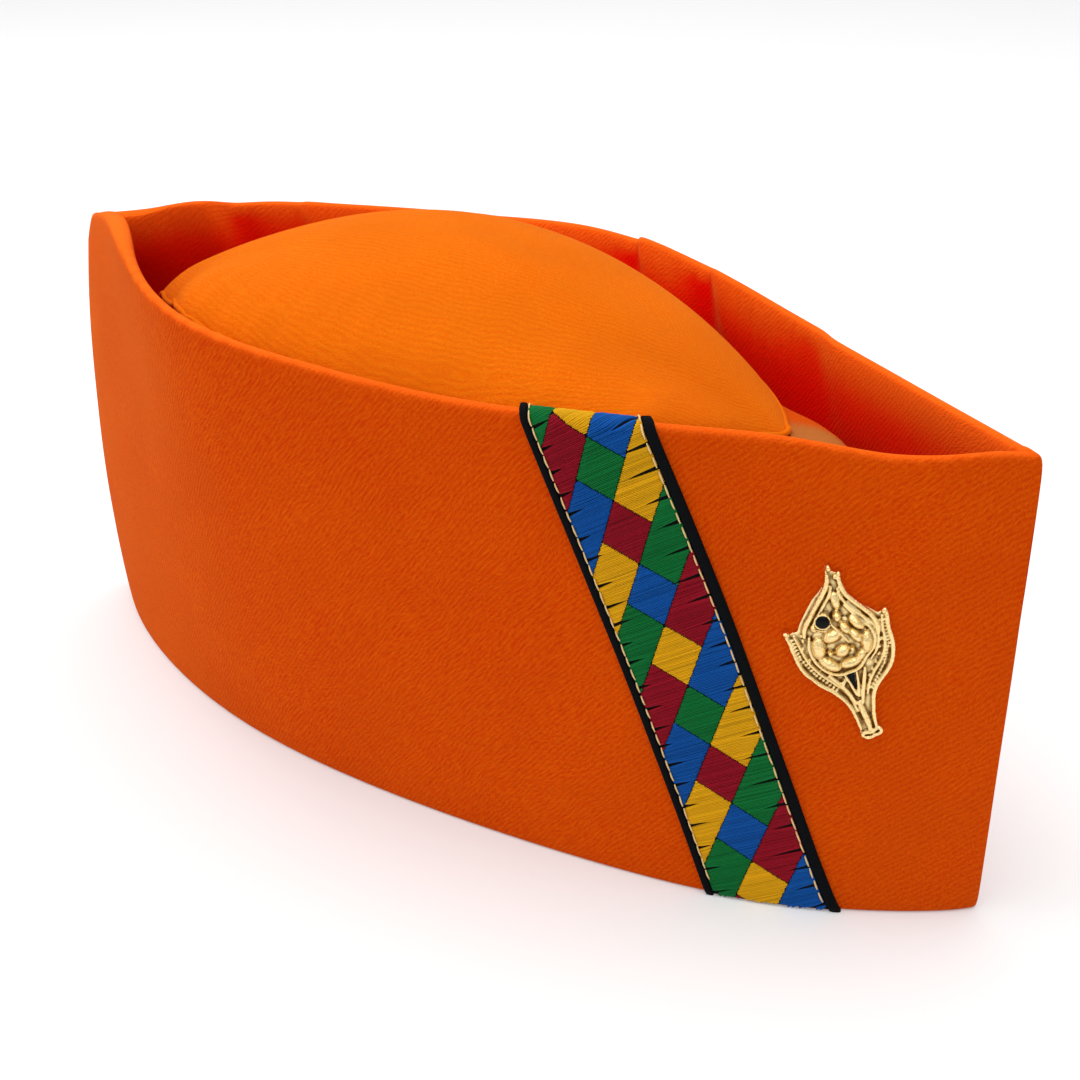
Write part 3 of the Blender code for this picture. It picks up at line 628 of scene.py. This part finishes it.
RIM_HEIGHTS = {x: rim_at(x) for x in range(36, 116)}


def rim_height_at(x):
    low = math.floor(x)
    return RIM_HEIGHTS[low] + (RIM_HEIGHTS[low + 1] - RIM_HEIGHTS[low]) * (x - low)


def spread(s, down):
    """The ribbon was eased narrower over the rim than at its foot: s at this distance down."""
    return s * (HEAD_WIDTH + WIDTH_GAIN * max(0.0, down))


def lay(s, t, off):
    """A place on the flat ribbon, laid on the near wall, over its rim or down its inner face."""
    down = t * math.cos(LEAN)
    s = spread(s, down)
    x = RIBBON_X + RIBBON_DRIFT * down + WALL_TURN * math.cos(LEAN) * s
    run = down - math.sin(LEAN) * s
    top = rim_height_at(x)
    if run >= 0:
        place, out = outer_face(x, max(top - run, FOOT_CLEARANCE))
        place += out * off
        place.z = max(place.z, FLOOR_GAP)
        return place * MM
    turned = -run / RIM_RADIUS
    if turned > math.pi:
        inside = (turned - math.pi) * RIM_RADIUS
        place, out = outer_face(x, top - inside)
        return (place - out * (2 * RIM_RADIUS + off)) * MM
    place, out = outer_face(x, top)
    out = Vector((out.x, out.y, 0.0)).normalized()
    middle = place - out * RIM_RADIUS
    spoke = out * math.cos(turned) + Vector((0, 0, 1)) * math.sin(turned)
    return (middle + spoke * (RIM_RADIUS + off)) * MM


def foot_at(s):
    """How far down the ribbon its foot is, at s."""
    t = 112.0
    for _ in range(4):
        down = t * math.cos(LEAN)
        wide = spread(s, down)
        x = RIBBON_X + RIBBON_DRIFT * down + WALL_TURN * math.cos(LEAN) * wide
        t = (rim_height_at(x) - FOOT_CLEARANCE + math.sin(LEAN) * wide) / math.cos(LEAN)
    return t


HEAD = -(math.pi * RIM_RADIUS + TUCK) / math.cos(LEAN)


def new_piece(name, points, faces):
    mesh = bpy.data.meshes.new(name)
    mesh.from_pydata(points, [], faces)
    mesh.update()
    piece = bpy.data.objects.new(name, mesh)
    bpy.context.collection.objects.link(piece)
    only(piece)
    bpy.ops.object.mode_set(mode="EDIT")
    bpy.ops.mesh.select_all(action="SELECT")
    bpy.ops.mesh.normals_make_consistent(inside=False)
    bpy.ops.object.mode_set(mode="OBJECT")
    bpy.ops.object.shade_smooth()
    return piece


def tube_faces(start, rings, sides):
    """Faces of a closed tube of rings, with both ends capped."""
    faces = [tuple(start + i for i in range(sides))]
    for ring in range(rings - 1):
        low = start + ring * sides
        for i in range(sides):
            j = (i + 1) % sides
            faces.append((low + i, low + j, low + sides + j, low + sides + i))
    last = start + (rings - 1) * sides
    faces.append(tuple(last + i for i in reversed(range(sides))))
    return faces


def strip(name, section):
    """A cross-section of (s, off) points swept along the whole ribbon."""
    points = []
    for i in range(STRIP_RINGS):
        for s, off in section:
            t = HEAD + (foot_at(s) - HEAD) * i / (STRIP_RINGS - 1)
            points.append(lay(s, t, off))
    return new_piece(name, points, tube_faces(0, STRIP_RINGS, len(section)))


columns = [FIELD_LEFT + (FIELD_RIGHT - FIELD_LEFT) * i / 14 for i in range(15)]
section = [(s, GROUND_LOW) for s in columns] + [(s, GROUND_TOP) for s in reversed(columns)]
ribbon_ground = strip("ribbon_ground", section)
black_ground, tree, shader = finish("black_ground", Roughness=0.9, Specular_IOR_Level=0.1)
thread_grain = noise_at(tree, millimetres(tree), 3.0, 3.0)["Fac"]
ground_colour = mixed(tree, thread_grain, (0.001, 0.001, 0.001, 1.0), (0.007, 0.007, 0.008, 1.0))
tree.links.new(ground_colour, shader["Base Color"])
held(ribbon_ground, black_ground, "ribbon", "ribbon")


def satin(name, colour):
    """Shiny embroidery thread: it differs a little from stitch to stitch."""
    made, tree, shader = finish(name, Roughness=0.5, Specular_IOR_Level=0.1, Anisotropic=0.4)
    shade = node(tree, "ShaderNodeAttribute", attribute_name="stitch_shade").outputs["Fac"]
    dark = [part * 0.55 for part in colour[:3]] + [1.0]
    light = [min(1.0, part * 1.15 + 0.002) for part in colour[:3]] + [1.0]
    tree.links.new(mixed(tree, shade, dark, light), shader["Base Color"])
    return made


def diamond_at(s, row):
    """Which cell holds a place, by its two slanting rows; a corner cut off by an edge joins the
    cell beside it."""
    across = (s - DIAMOND_MIDDLE) / DIAMOND_HALF_WIDTH
    along = (row - FIRST_DIAMOND) / DIAMOND_HALF_LENGTH
    rising, falling = round((along + across) / 2), round((along - across) / 2)
    return rising, min(rising + 1, max(rising - 1, falling))


def slits(longest):
    """Places down one edge where the satin is slit, and how long each slit is."""
    found = []
    row = HEAD + 2.0
    while row < LAST_ROW:
        found.append((row, longest * RANDOM.uniform(0.6, 1.0)))
        row += SLIT_PITCH * RANDOM.uniform(0.78, 1.2)
    return found


SLITS = [slits(longest) for longest in SLIT_LENGTHS]


def parted(s, row):
    """How far the slits push the thread of a row aside at s; they narrow inwards from each edge."""
    moved = 0.0
    for inwards, edge in ((s - FIELD_LEFT, SLITS[0]), (FIELD_RIGHT - s, SLITS[1])):
        for at, length in edge:
            if abs(row - at) < SLIT_REACH and inwards < length:
                away = row - at or 0.01
                open_by = SLIT_HALF_WIDTH * (1 - inwards / length) ** 0.5
                moved += math.copysign(open_by * math.exp(-abs(away) / SLIT_BUNCHING), away)
    return moved


thread_points, thread_faces, thread_colours, thread_shades = [], [], [], []


def add_thread(start, end, row, colour):
    """One satin stitch from s = start to s = end: half round, and dipping at its ends."""
    steps = max(2, math.ceil((end - start) / THREAD_STEP))
    lift = RANDOM.uniform(-0.035, 0.035)
    shift = RANDOM.uniform(-0.04, 0.04)
    wide = THREAD_PITCH * RANDOM.uniform(0.54, 0.64)
    first = len(thread_points)
    rings = 0
    for i in range(steps + 1):
        share = i / steps
        s = start + (end - start) * share
        t = row + shift + parted(s, row) - THREAD_SKEW * (s - DIAMOND_MIDDLE)
        foot = foot_by_s[round((s - FIELD_LEFT) * 2)]
        if t > foot or t < HEAD:
            if rings:
                break
            continue
        dip = THREAD_DIP if i in (0, steps) else 1.0
        top = GROUND_TOP + (THREAD_HEIGHT + lift) * dip
        edge = GROUND_TOP - THREAD_SUNK
        for across, off in ((-wide, edge), (-wide * 0.6, top - 0.07), (0, top),
                            (wide * 0.6, top - 0.07), (wide, edge)):
            thread_points.append(lay(s, t + across, off))
        rings += 1
    if rings < 2:
        del thread_points[first:]
        return
    shade = min(1.0, max(0.0, RANDOM.gauss(0.72, 0.16)))
    for ring in range(rings - 1):
        for i in range(4):
            low = first + ring * 5 + i
            thread_faces.append((low, low + 5, low + 6, low + 1))
            thread_colours.append(colour)
            thread_shades.append(shade)


foot_by_s = [foot_at(FIELD_LEFT + i / 2) for i in range(int((FIELD_RIGHT - FIELD_LEFT) * 2) + 2)]
row = HEAD - 2.0
while row < LAST_ROW:
    left, right = FIELD_LEFT + 0.15, FIELD_RIGHT - 0.15
    s, start, here = left, left, diamond_at(left, row)
    while s < right:
        s = min(s + 0.15, right)
        there = diamond_at(s, row)
        if there != here or s >= right:
            a, b = here
            end = s - (OUTLINE_GAP + RANDOM.uniform(0.0, 0.16) if s < right else 0.0)
            if end - start > 0.5:
                add_thread(start, end, row, (2 * b - a - 1) % 4)
            start, here = s + OUTLINE_GAP * 0.4, there
    row += THREAD_PITCH
threads = new_piece("ribbon_satin", thread_points, thread_faces)
for name, colour in SATIN_COLOURS:
    threads.data.materials.append(satin(name, colour))
threads.data.polygons.foreach_set("material_index", thread_colours)
shades = threads.data.attributes.new("stitch_shade", "FLOAT", "FACE")
shades.data.foreach_set("value", thread_shades)
held(threads, None, "ribbon")

# Bindings: black twill tape, folded over each edge of the ribbon and standing a little proud of it.
BINDING_HEIGHT = 1.15
BINDINGS = (
    ("ribbon_binding_rear", -13.0, -11.35),
    ("ribbon_binding_front", 11.15, 13.2),
)

binding_tape, tree, shader = finish("binding_tape", Roughness=0.8, Specular_IOR_Level=0.06)
grain = noise_at(tree, millimetres(tree), 2.6, 3.0)["Fac"]
tape_colour = mixed(tree, grain, (0.0005, 0.0005, 0.001, 1.0), (0.004, 0.0055, 0.007, 1.0))
tree.links.new(tape_colour, shader["Base Color"])
bump = node(tree, "ShaderNodeBump", {"Strength": 0.7, "Distance": 0.12 * MM, "Height": grain})
tree.links.new(bump.outputs[0], shader["Normal"])
for name, low_s, high_s in BINDINGS:
    middle, half = (low_s + high_s) / 2, (high_s - low_s) / 2
    section = [(low_s, GROUND_LOW), (middle, GROUND_LOW), (high_s, GROUND_LOW)]
    for share, lift in ((1.0, 0.55), (0.82, 0.88), (0.45, 1.0), (0.0, 1.0), (-0.45, 1.0),
                        (-0.82, 0.88), (-1.0, 0.55)):
        section.append((middle + half * share, GROUND_LOW + (BINDING_HEIGHT - GROUND_LOW) * lift))
    binding = strip(name + "_tape", section)
    held(binding, binding_tape, "binding", name)

# Running stitches: one cream thread down each side, just inside the binding, which sews the
# ribbon to the wall. Each stitch dives through the cloth at its ends.
STITCH_LINES = (-10.95, 10.7)
STITCH_PITCH, STITCH_LENGTH = 3.05, 2.55
STITCH_RADIUS = 0.19
STITCH_SHADED = (0.58, 0.33, 0.12, 1.0)
STITCH_COLOUR = (0.88, 0.66, 0.32, 1.0)

points, faces = [], []
for line in STITCH_LINES:
    t = HEAD + 6.0
    end = foot_at(line) - 1.0
    while t + STITCH_LENGTH < end:
        long = STITCH_LENGTH * RANDOM.uniform(0.85, 1.12)
        turn = RANDOM.uniform(-0.12, 0.12)
        first, rings = len(points), 6
        for i in range(rings):
            share = i / (rings - 1)
            bow = math.sin(math.pi * (0.08 + 0.84 * share))
            high = GROUND_TOP + THREAD_HEIGHT - 0.12 + 0.24 * bow
            thick = STITCH_RADIUS * (0.6 + 0.4 * bow)
            for corner in range(8):
                angle = math.tau * corner / 8
                s = line + turn * (share - 0.5) + thick * math.cos(angle)
                points.append(lay(s, t + long * share, high + thick * math.sin(angle)))
        faces += tube_faces(first, rings, 8)
        t += STITCH_PITCH * RANDOM.uniform(0.94, 1.06)
stitches = new_piece("running_stitches", points, faces)
cream_thread, tree, shader = finish("cream_thread", Roughness=0.6, Specular_IOR_Level=0.2)
twist = noise_at(tree, millimetres(tree), 1.4, 2.0)["Fac"]
tree.links.new(mixed(tree, twist, STITCH_SHADED, STITCH_COLOUR), shader["Base Color"])
held(stitches, cream_thread, "binding")

# Brooch: a flower bud between two leaves, cast in brass, gilded and polished, so that its ridges
# are bright, and its recesses are dark from old polish and from painted shade. It is modelled flat, and
# pinned on.
BROOCH_X, BROOCH_Z = 104.0, 62.54
BROOCH_SINK = 0.45
BROOCH_TURN = (86.83, -17.02, 26.2)
BROOCH_SPIN = -0.5
PLATE_TOP = 1.2
CAST_GRAIN = 0.15
GILT_BRIGHT, GILT_DARK = (0.97, 0.73, 0.34, 1.0), (0.13, 0.052, 0.009, 1.0)
# The raised lines are worn low and broad, and the swellings higher than PETAL_RISE are wide
LINE_LIFT, LINE_BREADTH = 0.7, 1.12
PETAL_RISE, PETAL_WIDTH = 1.5, 1.3
BROOCH_EDGE = (
    (1.1, 19.2), (1.4, 17.7), (2.1, 17.2), (2.9, 17.4), (3.0, 15.4), (3.4, 13.4), (4.2, 11.6),
    (5.7, 10.0), (7.3, 8.3), (8.5, 7.2), (10.2, 8.0), (10.5, 6.7), (10.3, 3.9), (10.5, 1.3),
    (10.2, -1.5), (9.5, -3.8), (8.3, -5.6), (6.9, -7.1), (5.6, -8.6), (4.7, -10.2), (4.2, -12.4),
    (3.8, -14.9), (3.7, -17.1), (4.4, -18.0), (4.1, -19.1), (2.4, -19.8), (0.9, -20.1),
    (-0.1, -19.4), (0.0, -17.9), (-0.2, -15.9), (-0.7, -13.9), (-1.4, -11.8), (-2.5, -10.0),
    (-3.9, -8.6), (-5.7, -6.9), (-7.2, -5.0), (-8.5, -3.0), (-9.3, -0.6), (-9.7, 2.1),
    (-10.0, 4.4), (-10.5, 6.3), (-9.1, 5.9), (-7.6, 6.1), (-6.7, 7.8), (-5.1, 10.1), (-3.4, 12.3),
    (-1.7, 13.8), (-0.5, 15.3), (0.2, 17.0), (0.5, 18.9),
)
# Each raised line: its width, its height above the plate, and the points that it runs through
BROOCH_LINES = (
    (0.42, 0.25, ((-10.2, 6.0), (-9.6, 4.2), (-9.3, 2.0), (-8.9, -0.5), (-8.1, -2.9), (-6.8, -4.8),
                  (-5.3, -6.6), (-3.5, -8.2), (-2.2, -9.7), (-1.0, -11.7), (-0.3, -13.9), (0.3, -17.8))),
    (0.42, 0.25, ((10.1, 7.7), (10.1, 6.4), (9.9, 3.9), (10.1, 1.2), (9.8, -1.4), (9.1, -3.6),
                  (7.9, -5.4), (6.5, -6.9), (5.2, -8.4), (4.3, -10.2), (3.8, -12.4), (3.4, -15.0),
                  (3.4, -17.6))),
    (0.30, 0.22, ((-8.5, 5.4), (-8.0, 3.6), (-7.6, 1.7), (-6.7, -1.2), (-5.0, -4.0), (-2.9, -6.4),
                  (-1.2, -8.4), (-0.2, -10.6), (0.5, -13.6))),
    (0.30, 0.22, ((9.2, 6.6), (8.8, 4.6), (8.7, 1.4), (8.1, -1.1), (6.8, -3.4), (5.2, -5.4),
                  (3.9, -7.6), (3.1, -10.0))),
    (0.50, 0.45, ((0.6, 17.2), (0.1, 15.2), (-1.2, 13.1), (-2.8, 11.0), (-4.4, 8.8), (-6.0, 6.6),
                  (-6.5, 4.6))),
    (0.50, 0.45, ((2.6, 16.8), (2.7, 14.6), (3.2, 12.6), (4.3, 10.9), (5.8, 9.0), (7.2, 7.1),
                  (7.9, 4.8), (7.7, 2.8))),
    (0.32, 0.55, ((0.9, 14.6), (0.2, 13.0), (-1.4, 10.8), (-3.2, 8.4), (-4.9, 6.2))),
    (0.32, 0.55, ((1.9, 14.2), (2.1, 12.4), (3.0, 10.4), (4.4, 8.5), (5.9, 6.6), (6.6, 4.6))),
    (0.34, 0.60, ((-5.5, 4.7), (-6.0, 2.2), (-5.6, -0.5), (-4.5, -2.5), (-3.1, -3.9), (-1.4, -4.6),
                  (0.6, -4.4), (2.6, -3.8), (4.5, -1.6), (6.4, 0.6), (6.7, 4.0), (4.5, 7.1), (2.4, 10.4))),
    (0.26, 0.45, ((5.2, -2.4), (7.1, 0.2), (7.5, 4.1), (5.4, 7.6), (3.2, 10.9))),
    (0.30, 2.30, ((-0.7, 7.2), (0.7, 4.9), (2.0, 2.6))),
    (0.24, 1.20, ((-3.6, 6.0), (-2.4, 5.6), (-1.2, 6.3), (-0.5, 7.6))),
    (0.30, 0.45, ((-0.6, -4.6), (0.1, -6.4), (0.6, -8.2), (1.0, -9.8))),
    (0.30, 0.45, ((2.0, -4.4), (1.9, -6.4), (1.6, -8.6), (1.3, -10.2))),
    (0.38, 0.45, ((-3.6, -4.4), (-2.6, -5.6), (-1.2, -7.6), (-0.1, -9.8), (0.5, -11.8))),
    (0.38, 0.45, ((3.8, -3.8), (3.4, -5.4), (2.8, -7.6), (2.2, -9.8), (1.9, -11.8))),
    (0.62, 0.35, ((1.1, -11.0), (1.5, -13.4), (1.9, -15.8), (2.1, -18.0))),
    (0.34, 0.45, ((0.1, -19.0), (1.2, -19.7), (2.6, -19.4), (4.1, -18.7), (3.9, -17.9), (2.3, -18.5),
                  (0.6, -18.6), (0.1, -19.0))),
)
# Each swelling: its middle, half length, half width, turn in degrees, and height above the plate
BROOCH_SWELLS = (
    (0.4, 2.1, 5.9, 5.8, 0, 1.1),
    (-4.1, 2.0, 2.7, 1.25, 82, 2.1),
    (0.3, 1.1, 1.9, 1.15, 35, 2.9),
    (-1.0, 4.4, 2.3, 1.2, 25, 2.5),
    (1.8, 5.65, 1.8, 0.8, -58, 2.3),
    (3.5, 3.7, 2.0, 0.85, -60, 2.5),
    (2.35, 1.4, 0.6, 0.6, 0, 2.9),
    (-2.05, 0.95, 0.65, 0.6, 0, 2.7),
    (-2.7, -1.65, 2.7, 1.1, -42, 2.3),
    (1.3, -1.85, 2.6, 1.0, 12, 2.4),
    (3.5, -0.6, 1.9, 0.8, 48, 2.3),
    (5.2, 1.8, 2.6, 1.0, 80, 2.2),
    (4.1, 6.2, 2.1, 0.8, -55, 1.9),
    (0.7, 8.25, 0.95, 0.95, 0, 2.1),
    (1.0, 11.3, 0.95, 2.1, 0, 1.1),
    (-4.25, 6.35, 0.8, 0.8, 0, 1.5),
    (-1.1, -6.8, 0.5, 1.5, -35, 0.9),
    (1.1, 18.4, 0.55, 0.8, 0, 1.0),
    (2.8, 16.9, 0.5, 0.6, 0, 1.0),
    (2.0, 16.4, 0.5, 0.6, 0, 0.9),
    (-9.8, 5.9, 0.8, 0.6, 150, 0.9),
    (9.8, 7.5, 0.8, 0.6, 60, 0.9),
)
STONE_MIDDLE = (-2.2, 7.8)
STONE_SEAT = 1.35
STONE_RADIUS = 1.4
BEZEL_WIRE = 0.2
HOLLOW_REACH, HOLLOW_DEPTH = 14, 0.12
# Rows of small cast beads between the two raised lines of each leaf: from, to, how many, radius
BEAD_ROWS = (
    ((-9.0, 4.4), (-8.3, 0.6), 6, 0.34),
    ((-8.2, 0.0), (-6.3, -3.6), 6, 0.36),
    ((-5.9, -4.2), (-2.6, -8.0), 7, 0.36),
    ((9.5, 5.6), (9.3, 1.2), 7, 0.32),
    ((9.3, 0.4), (7.6, -3.8), 7, 0.38),
    ((7.1, -4.5), (4.2, -8.6), 7, 0.36),
)
LEAF_GRAINS = (
    ((-6.9, 3.8), 0.45), ((-7.3, 2.2), 0.4), ((-6.5, -0.6), 0.35), ((-4.7, -3.0), 0.35),
    ((7.9, 3.2), 0.45), ((8.0, 1.6), 0.45), ((7.4, 0.0), 0.45), ((6.9, -1.6), 0.45),
    ((6.0, -3.1), 0.42), ((5.0, -4.5), 0.4), ((4.2, -5.9), 0.36), ((7.8, 4.6), 0.36),
    ((-7.1, 5.0), 0.36), ((8.4, 5.6), 0.34),
)


def gather(parts, name):
    """Joins finished parts into one object."""
    bpy.ops.object.select_all(action="DESELECT")
    for part in parts:
        part.select_set(True)
    bpy.context.view_layer.objects.active = parts[0]
    bpy.ops.object.join()
    parts[0].name = name
    return parts[0]


def plate_of(outline, low, high, name):
    """A flat plate with this outline, made as a filled curve with some depth."""
    curve = bpy.data.curves.new(name, "CURVE")
    curve.dimensions = "2D"
    curve.fill_mode = "BOTH"
    curve.extrude = (high - low) / 2
    line = curve.splines.new("POLY")
    line.points.add(len(outline) - 1)
    for point, (x, y) in zip(line.points, outline):
        point.co = (x, y, 0.0, 1.0)
    line.use_cyclic_u = True
    plate = bpy.data.objects.new(name, curve)
    bpy.context.collection.objects.link(plate)
    plate.location.z = (high + low) / 2
    only(plate)
    bpy.ops.object.convert(target="MESH")
    bpy.ops.object.transform_apply(location=True, rotation=True, scale=True)
    return plate


def raised_line(width, height, line):
    """A round rib through a few points, thinner at both ends."""
    curve = bpy.data.curves.new("raised_line", "CURVE")
    curve.dimensions = "3D"
    curve.bevel_depth = width * LINE_BREADTH
    curve.bevel_resolution = 2
    curve.resolution_u = 5
    curve.use_fill_caps = True
    spline = curve.splines.new("BEZIER")
    spline.bezier_points.add(len(line) - 1)
    for i, (point, (x, y)) in enumerate(zip(spline.bezier_points, line)):
        point.co = (x, y, PLATE_TOP + height)
        point.handle_left_type = point.handle_right_type = "AUTO"
        point.radius = 0.7 if i in (0, len(line) - 1) else 1.0
    rib = bpy.data.objects.new("raised_line", curve)
    bpy.context.collection.objects.link(rib)
    only(rib)
    bpy.ops.object.convert(target="MESH")
    return rib


def swelling(x, y, length, width, turn, height):
    bpy.ops.mesh.primitive_ico_sphere_add(
        subdivisions=3,
        radius=1.0,
        location=(x, y, PLATE_TOP),
        rotation=(0, 0, math.radians(turn)),
        scale=(length, width, height),
    )
    bpy.ops.object.transform_apply(location=True, rotation=True, scale=True)
    return bpy.context.active_object


parts = [plate_of(BROOCH_EDGE, 0.0, PLATE_TOP, "brooch_cast")]
parts += [raised_line(wide, high * LINE_LIFT, line) for wide, high, line in BROOCH_LINES]
for x, y, long, wide, turn, high in BROOCH_SWELLS:
    wide *= PETAL_WIDTH if high > PETAL_RISE else 1.0
    parts.append(swelling(x, y, long, wide, turn, high))
for start, end, count, radius in BEAD_ROWS:
    for i in range(count):
        spot = Vector(start).lerp(Vector(end), i / (count - 1))
        size = radius * RANDOM.uniform(0.85, 1.1)
        parts.append(swelling(spot.x, spot.y, size, size * 0.85, RANDOM.uniform(0, 90), size * 1.3))
for spot, radius in LEAF_GRAINS:
    parts.append(swelling(*spot, radius, radius * 0.7, RANDOM.uniform(0, 90), radius * 1.2))
bezel_points = []
for i in range(12):
    spoke = Vector((math.cos(math.tau * i / 11), math.sin(math.tau * i / 11)))
    bezel_points.append(Vector(STONE_MIDDLE) + spoke * (STONE_RADIUS + BEZEL_WIRE / 2))
parts.append(raised_line(BEZEL_WIRE, STONE_SEAT, bezel_points))
parts.append(swelling(*STONE_MIDDLE, STONE_RADIUS + 0.2, STONE_RADIUS + 0.2, 0, STONE_SEAT))
brooch = gather(parts, "brooch_cast")
cast = brooch.modifiers.new("cast", "REMESH")
cast.mode = "VOXEL"
cast.voxel_size = CAST_GRAIN
cast.use_smooth_shade = True
bpy.ops.object.modifier_apply(modifier=cast.name)
polish = brooch.modifiers.new("polish", "SMOOTH")
polish.factor = 0.5
polish.iterations = 2
bpy.ops.object.modifier_apply(modifier=polish.name)

# How far each point lies below its smoothed surroundings: the recesses are darkened by old polish and by
# painted shade.
neighbours = [[] for _ in brooch.data.vertices]
for edge in brooch.data.edges:
    a, b = edge.vertices
    neighbours[a].append(b)
    neighbours[b].append(a)
heights = [vertex.co.z for vertex in brooch.data.vertices]
level = heights[:]
for _ in range(HOLLOW_REACH):
    level = [(level[i] + sum(level[j] for j in near)) / (1 + len(near)) for i, near in enumerate(neighbours)]
hollows = [min(1.0, max(0.0, (low - high) / HOLLOW_DEPTH)) for high, low in zip(heights, level)]
give_values(brooch, hollow=hollows)

brooch_place = Euler([math.radians(turn) for turn in BROOCH_TURN]).to_matrix()
brooch_place = (brooch_place @ Matrix.Rotation(math.radians(BROOCH_SPIN), 3, "Z")).to_4x4()
brooch_place.translation = Vector((BROOCH_X, 0.0, BROOCH_Z))
seats = []
for x, y in BROOCH_EDGE:
    corner = brooch_place @ Vector((x, y, 0.0))
    seats.append(outer_face(corner.x, corner.z)[0].y - corner.y)
brooch_place.translation.y = min(seats) + BROOCH_SINK
brooch_place = Matrix.Scale(MM, 4) @ brooch_place
brooch.data.transform(brooch_place)

gilt, tree, shader = finish("gilt", Metallic=1.0)
mask = node(tree, "ShaderNodeAttribute", attribute_name="hollow").outputs["Fac"]
spot = millimetres(tree)
patina = noise_at(tree, spot, 0.9, 4.0)["Fac"]
# Dark in the recesses: old polish, and painted shade.
dark = maths(tree, "MULTIPLY", mask, maths(tree, "MULTIPLY_ADD", patina, 1.6, 0.3))
tree.links.new(mixed(tree, dark, GILT_BRIGHT, GILT_DARK), shader["Base Color"])
rough = maths(tree, "MULTIPLY_ADD", patina, 0.2, 0.12)
rough = maths(tree, "MULTIPLY_ADD", mask, 0.3, rough)
tree.links.new(rough, shader["Roughness"])
pitted = noise_at(tree, spot, 1.5, 3.0)["Fac"]
bump = node(tree, "ShaderNodeBump", {"Strength": 0.8, "Distance": 0.3 * MM, "Height": pitted})
tree.links.new(bump.outputs[0], shader["Normal"])
held(brooch, gilt, "gilt", "brooch")

# Stone and inlay: a round jet-black stone in a rubbed-over bezel on the bud's shoulder, and black
# enamel fired into the narrow cell below the bud.
STONE_HEIGHT = 0.7
INLAY_CORNERS = ((-0.1, -4.3), (1.5, -4.2), (1.15, -8.6))

bpy.ops.mesh.primitive_uv_sphere_add(
    segments=32,
    ring_count=16,
    radius=1.0,
    location=(*STONE_MIDDLE, PLATE_TOP + STONE_SEAT),
    scale=(STONE_RADIUS, STONE_RADIUS, STONE_HEIGHT),
)
bpy.ops.object.transform_apply(location=True, rotation=True, scale=True)
stone = bpy.context.active_object
stone.name = "brooch_stone_black"
bpy.ops.object.shade_smooth()
stone.data.transform(brooch_place)
jet, tree, shader = finish("jet", Specular_IOR_Level=0.12, Base_Color=(0.001, 0.001, 0.001, 1.0))
wear = noise_at(tree, millimetres(tree), 2.0, 3.0)["Fac"]
tree.links.new(maths(tree, "MULTIPLY_ADD", wear, 0.3, 0.15), shader["Roughness"])
held(stone, jet, "black_enamel", "brooch_stone")
inlay = plate_of(INLAY_CORNERS, PLATE_TOP - 0.2, PLATE_TOP + 0.35, "brooch_inlay_enamel")
round_off = inlay.modifiers.new("round_off", "BEVEL")
round_off.width = 0.12
round_off.segments = 3
only(inlay)
bpy.ops.object.modifier_apply(modifier=round_off.name)
bpy.ops.object.shade_smooth_by_angle(angle=math.radians(40))
inlay.data.transform(brooch_place)
held(inlay, jet, "black_enamel", "brooch_inlay")

# Pin: the brooch's steel post and its round clutch, inside the fold of the wall.
steel, tree, shader = finish("pin_steel", Metallic=1.0, Base_Color=(0.6, 0.6, 0.6, 1.0))
spot = millimetres(tree)
turned = node(tree, "ShaderNodeTexNoise", {"Vector": spot, "Scale": 3.0, "Detail": 2.0}).outputs["Fac"]
tree.links.new(maths(tree, "MULTIPLY_ADD", turned, 0.2, 0.25), shader["Roughness"])
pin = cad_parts["brooch_pin"]
pin.data.materials.clear()
pin.data.materials.append(steel)

# Floor, light and camera: a plain white sweep under soft light from above and from the left, seen
# from where the photograph was taken.
FLOOR_SIZE = 8.0
WORLD_STRENGTH = 0.63
FLOOR_GLOW = 0.15
SOFTBOXES = (
    ("ceiling_softbox", (0.0, 0.0, 2.3), 4.0, 59.0),
    ("top_softbox", (-0.35, -0.10, 0.95), 0.6, 2.5),
    ("left_softbox", (-1.1, -0.55, 0.6), 0.7, 3.2),
)
CAMERA_PLACE = (201.87, -260.21, 213.62)
CAMERA_TARGET = (7.0, 19.6, 45.4)

bpy.ops.mesh.primitive_plane_add(size=FLOOR_SIZE, location=(0, 0, 0))
floor = bpy.context.active_object
floor.name = "floor"
pale, tree, shader = finish(
    "pale_floor",
    Roughness=0.9,
    Base_Color=(0.72, 0.72, 0.72, 1.0),
    Emission_Color=(1.0, 1.0, 1.0, 1.0),
    Emission_Strength=FLOOR_GLOW,
)
floor.data.materials.append(pale)

scene = bpy.context.scene
world = bpy.data.worlds.new("studio")
world.use_nodes = True
world.node_tree.nodes["Background"].inputs["Color"].default_value = (1.0, 1.0, 1.0, 1.0)
world.node_tree.nodes["Background"].inputs["Strength"].default_value = WORLD_STRENGTH
scene.world = world
for name, place, size, power in SOFTBOXES:
    lamp = bpy.data.lights.new(name, "AREA")
    lamp.shape = "SQUARE"
    lamp.size = size
    lamp.energy = power
    light = bpy.data.objects.new(name, lamp)
    light.location = place
    light.rotation_euler = (Vector((0, 0, 0.05)) - light.location).to_track_quat("-Z", "Y").to_euler()
    bpy.context.collection.objects.link(light)
scene.view_settings.view_transform = "Standard"
lens = bpy.data.cameras.new("photo_camera")
lens.lens = 50.0
lens.sensor_width = 36.0
camera = bpy.data.objects.new("photo_camera", lens)
camera.location = Vector(CAMERA_PLACE) * MM
camera.rotation_euler = (Vector(CAMERA_TARGET) * MM - camera.location).to_track_quat("-Z", "Y").to_euler()
bpy.context.collection.objects.link(camera)
scene.camera = camera

bpy.context.view_layer.update()
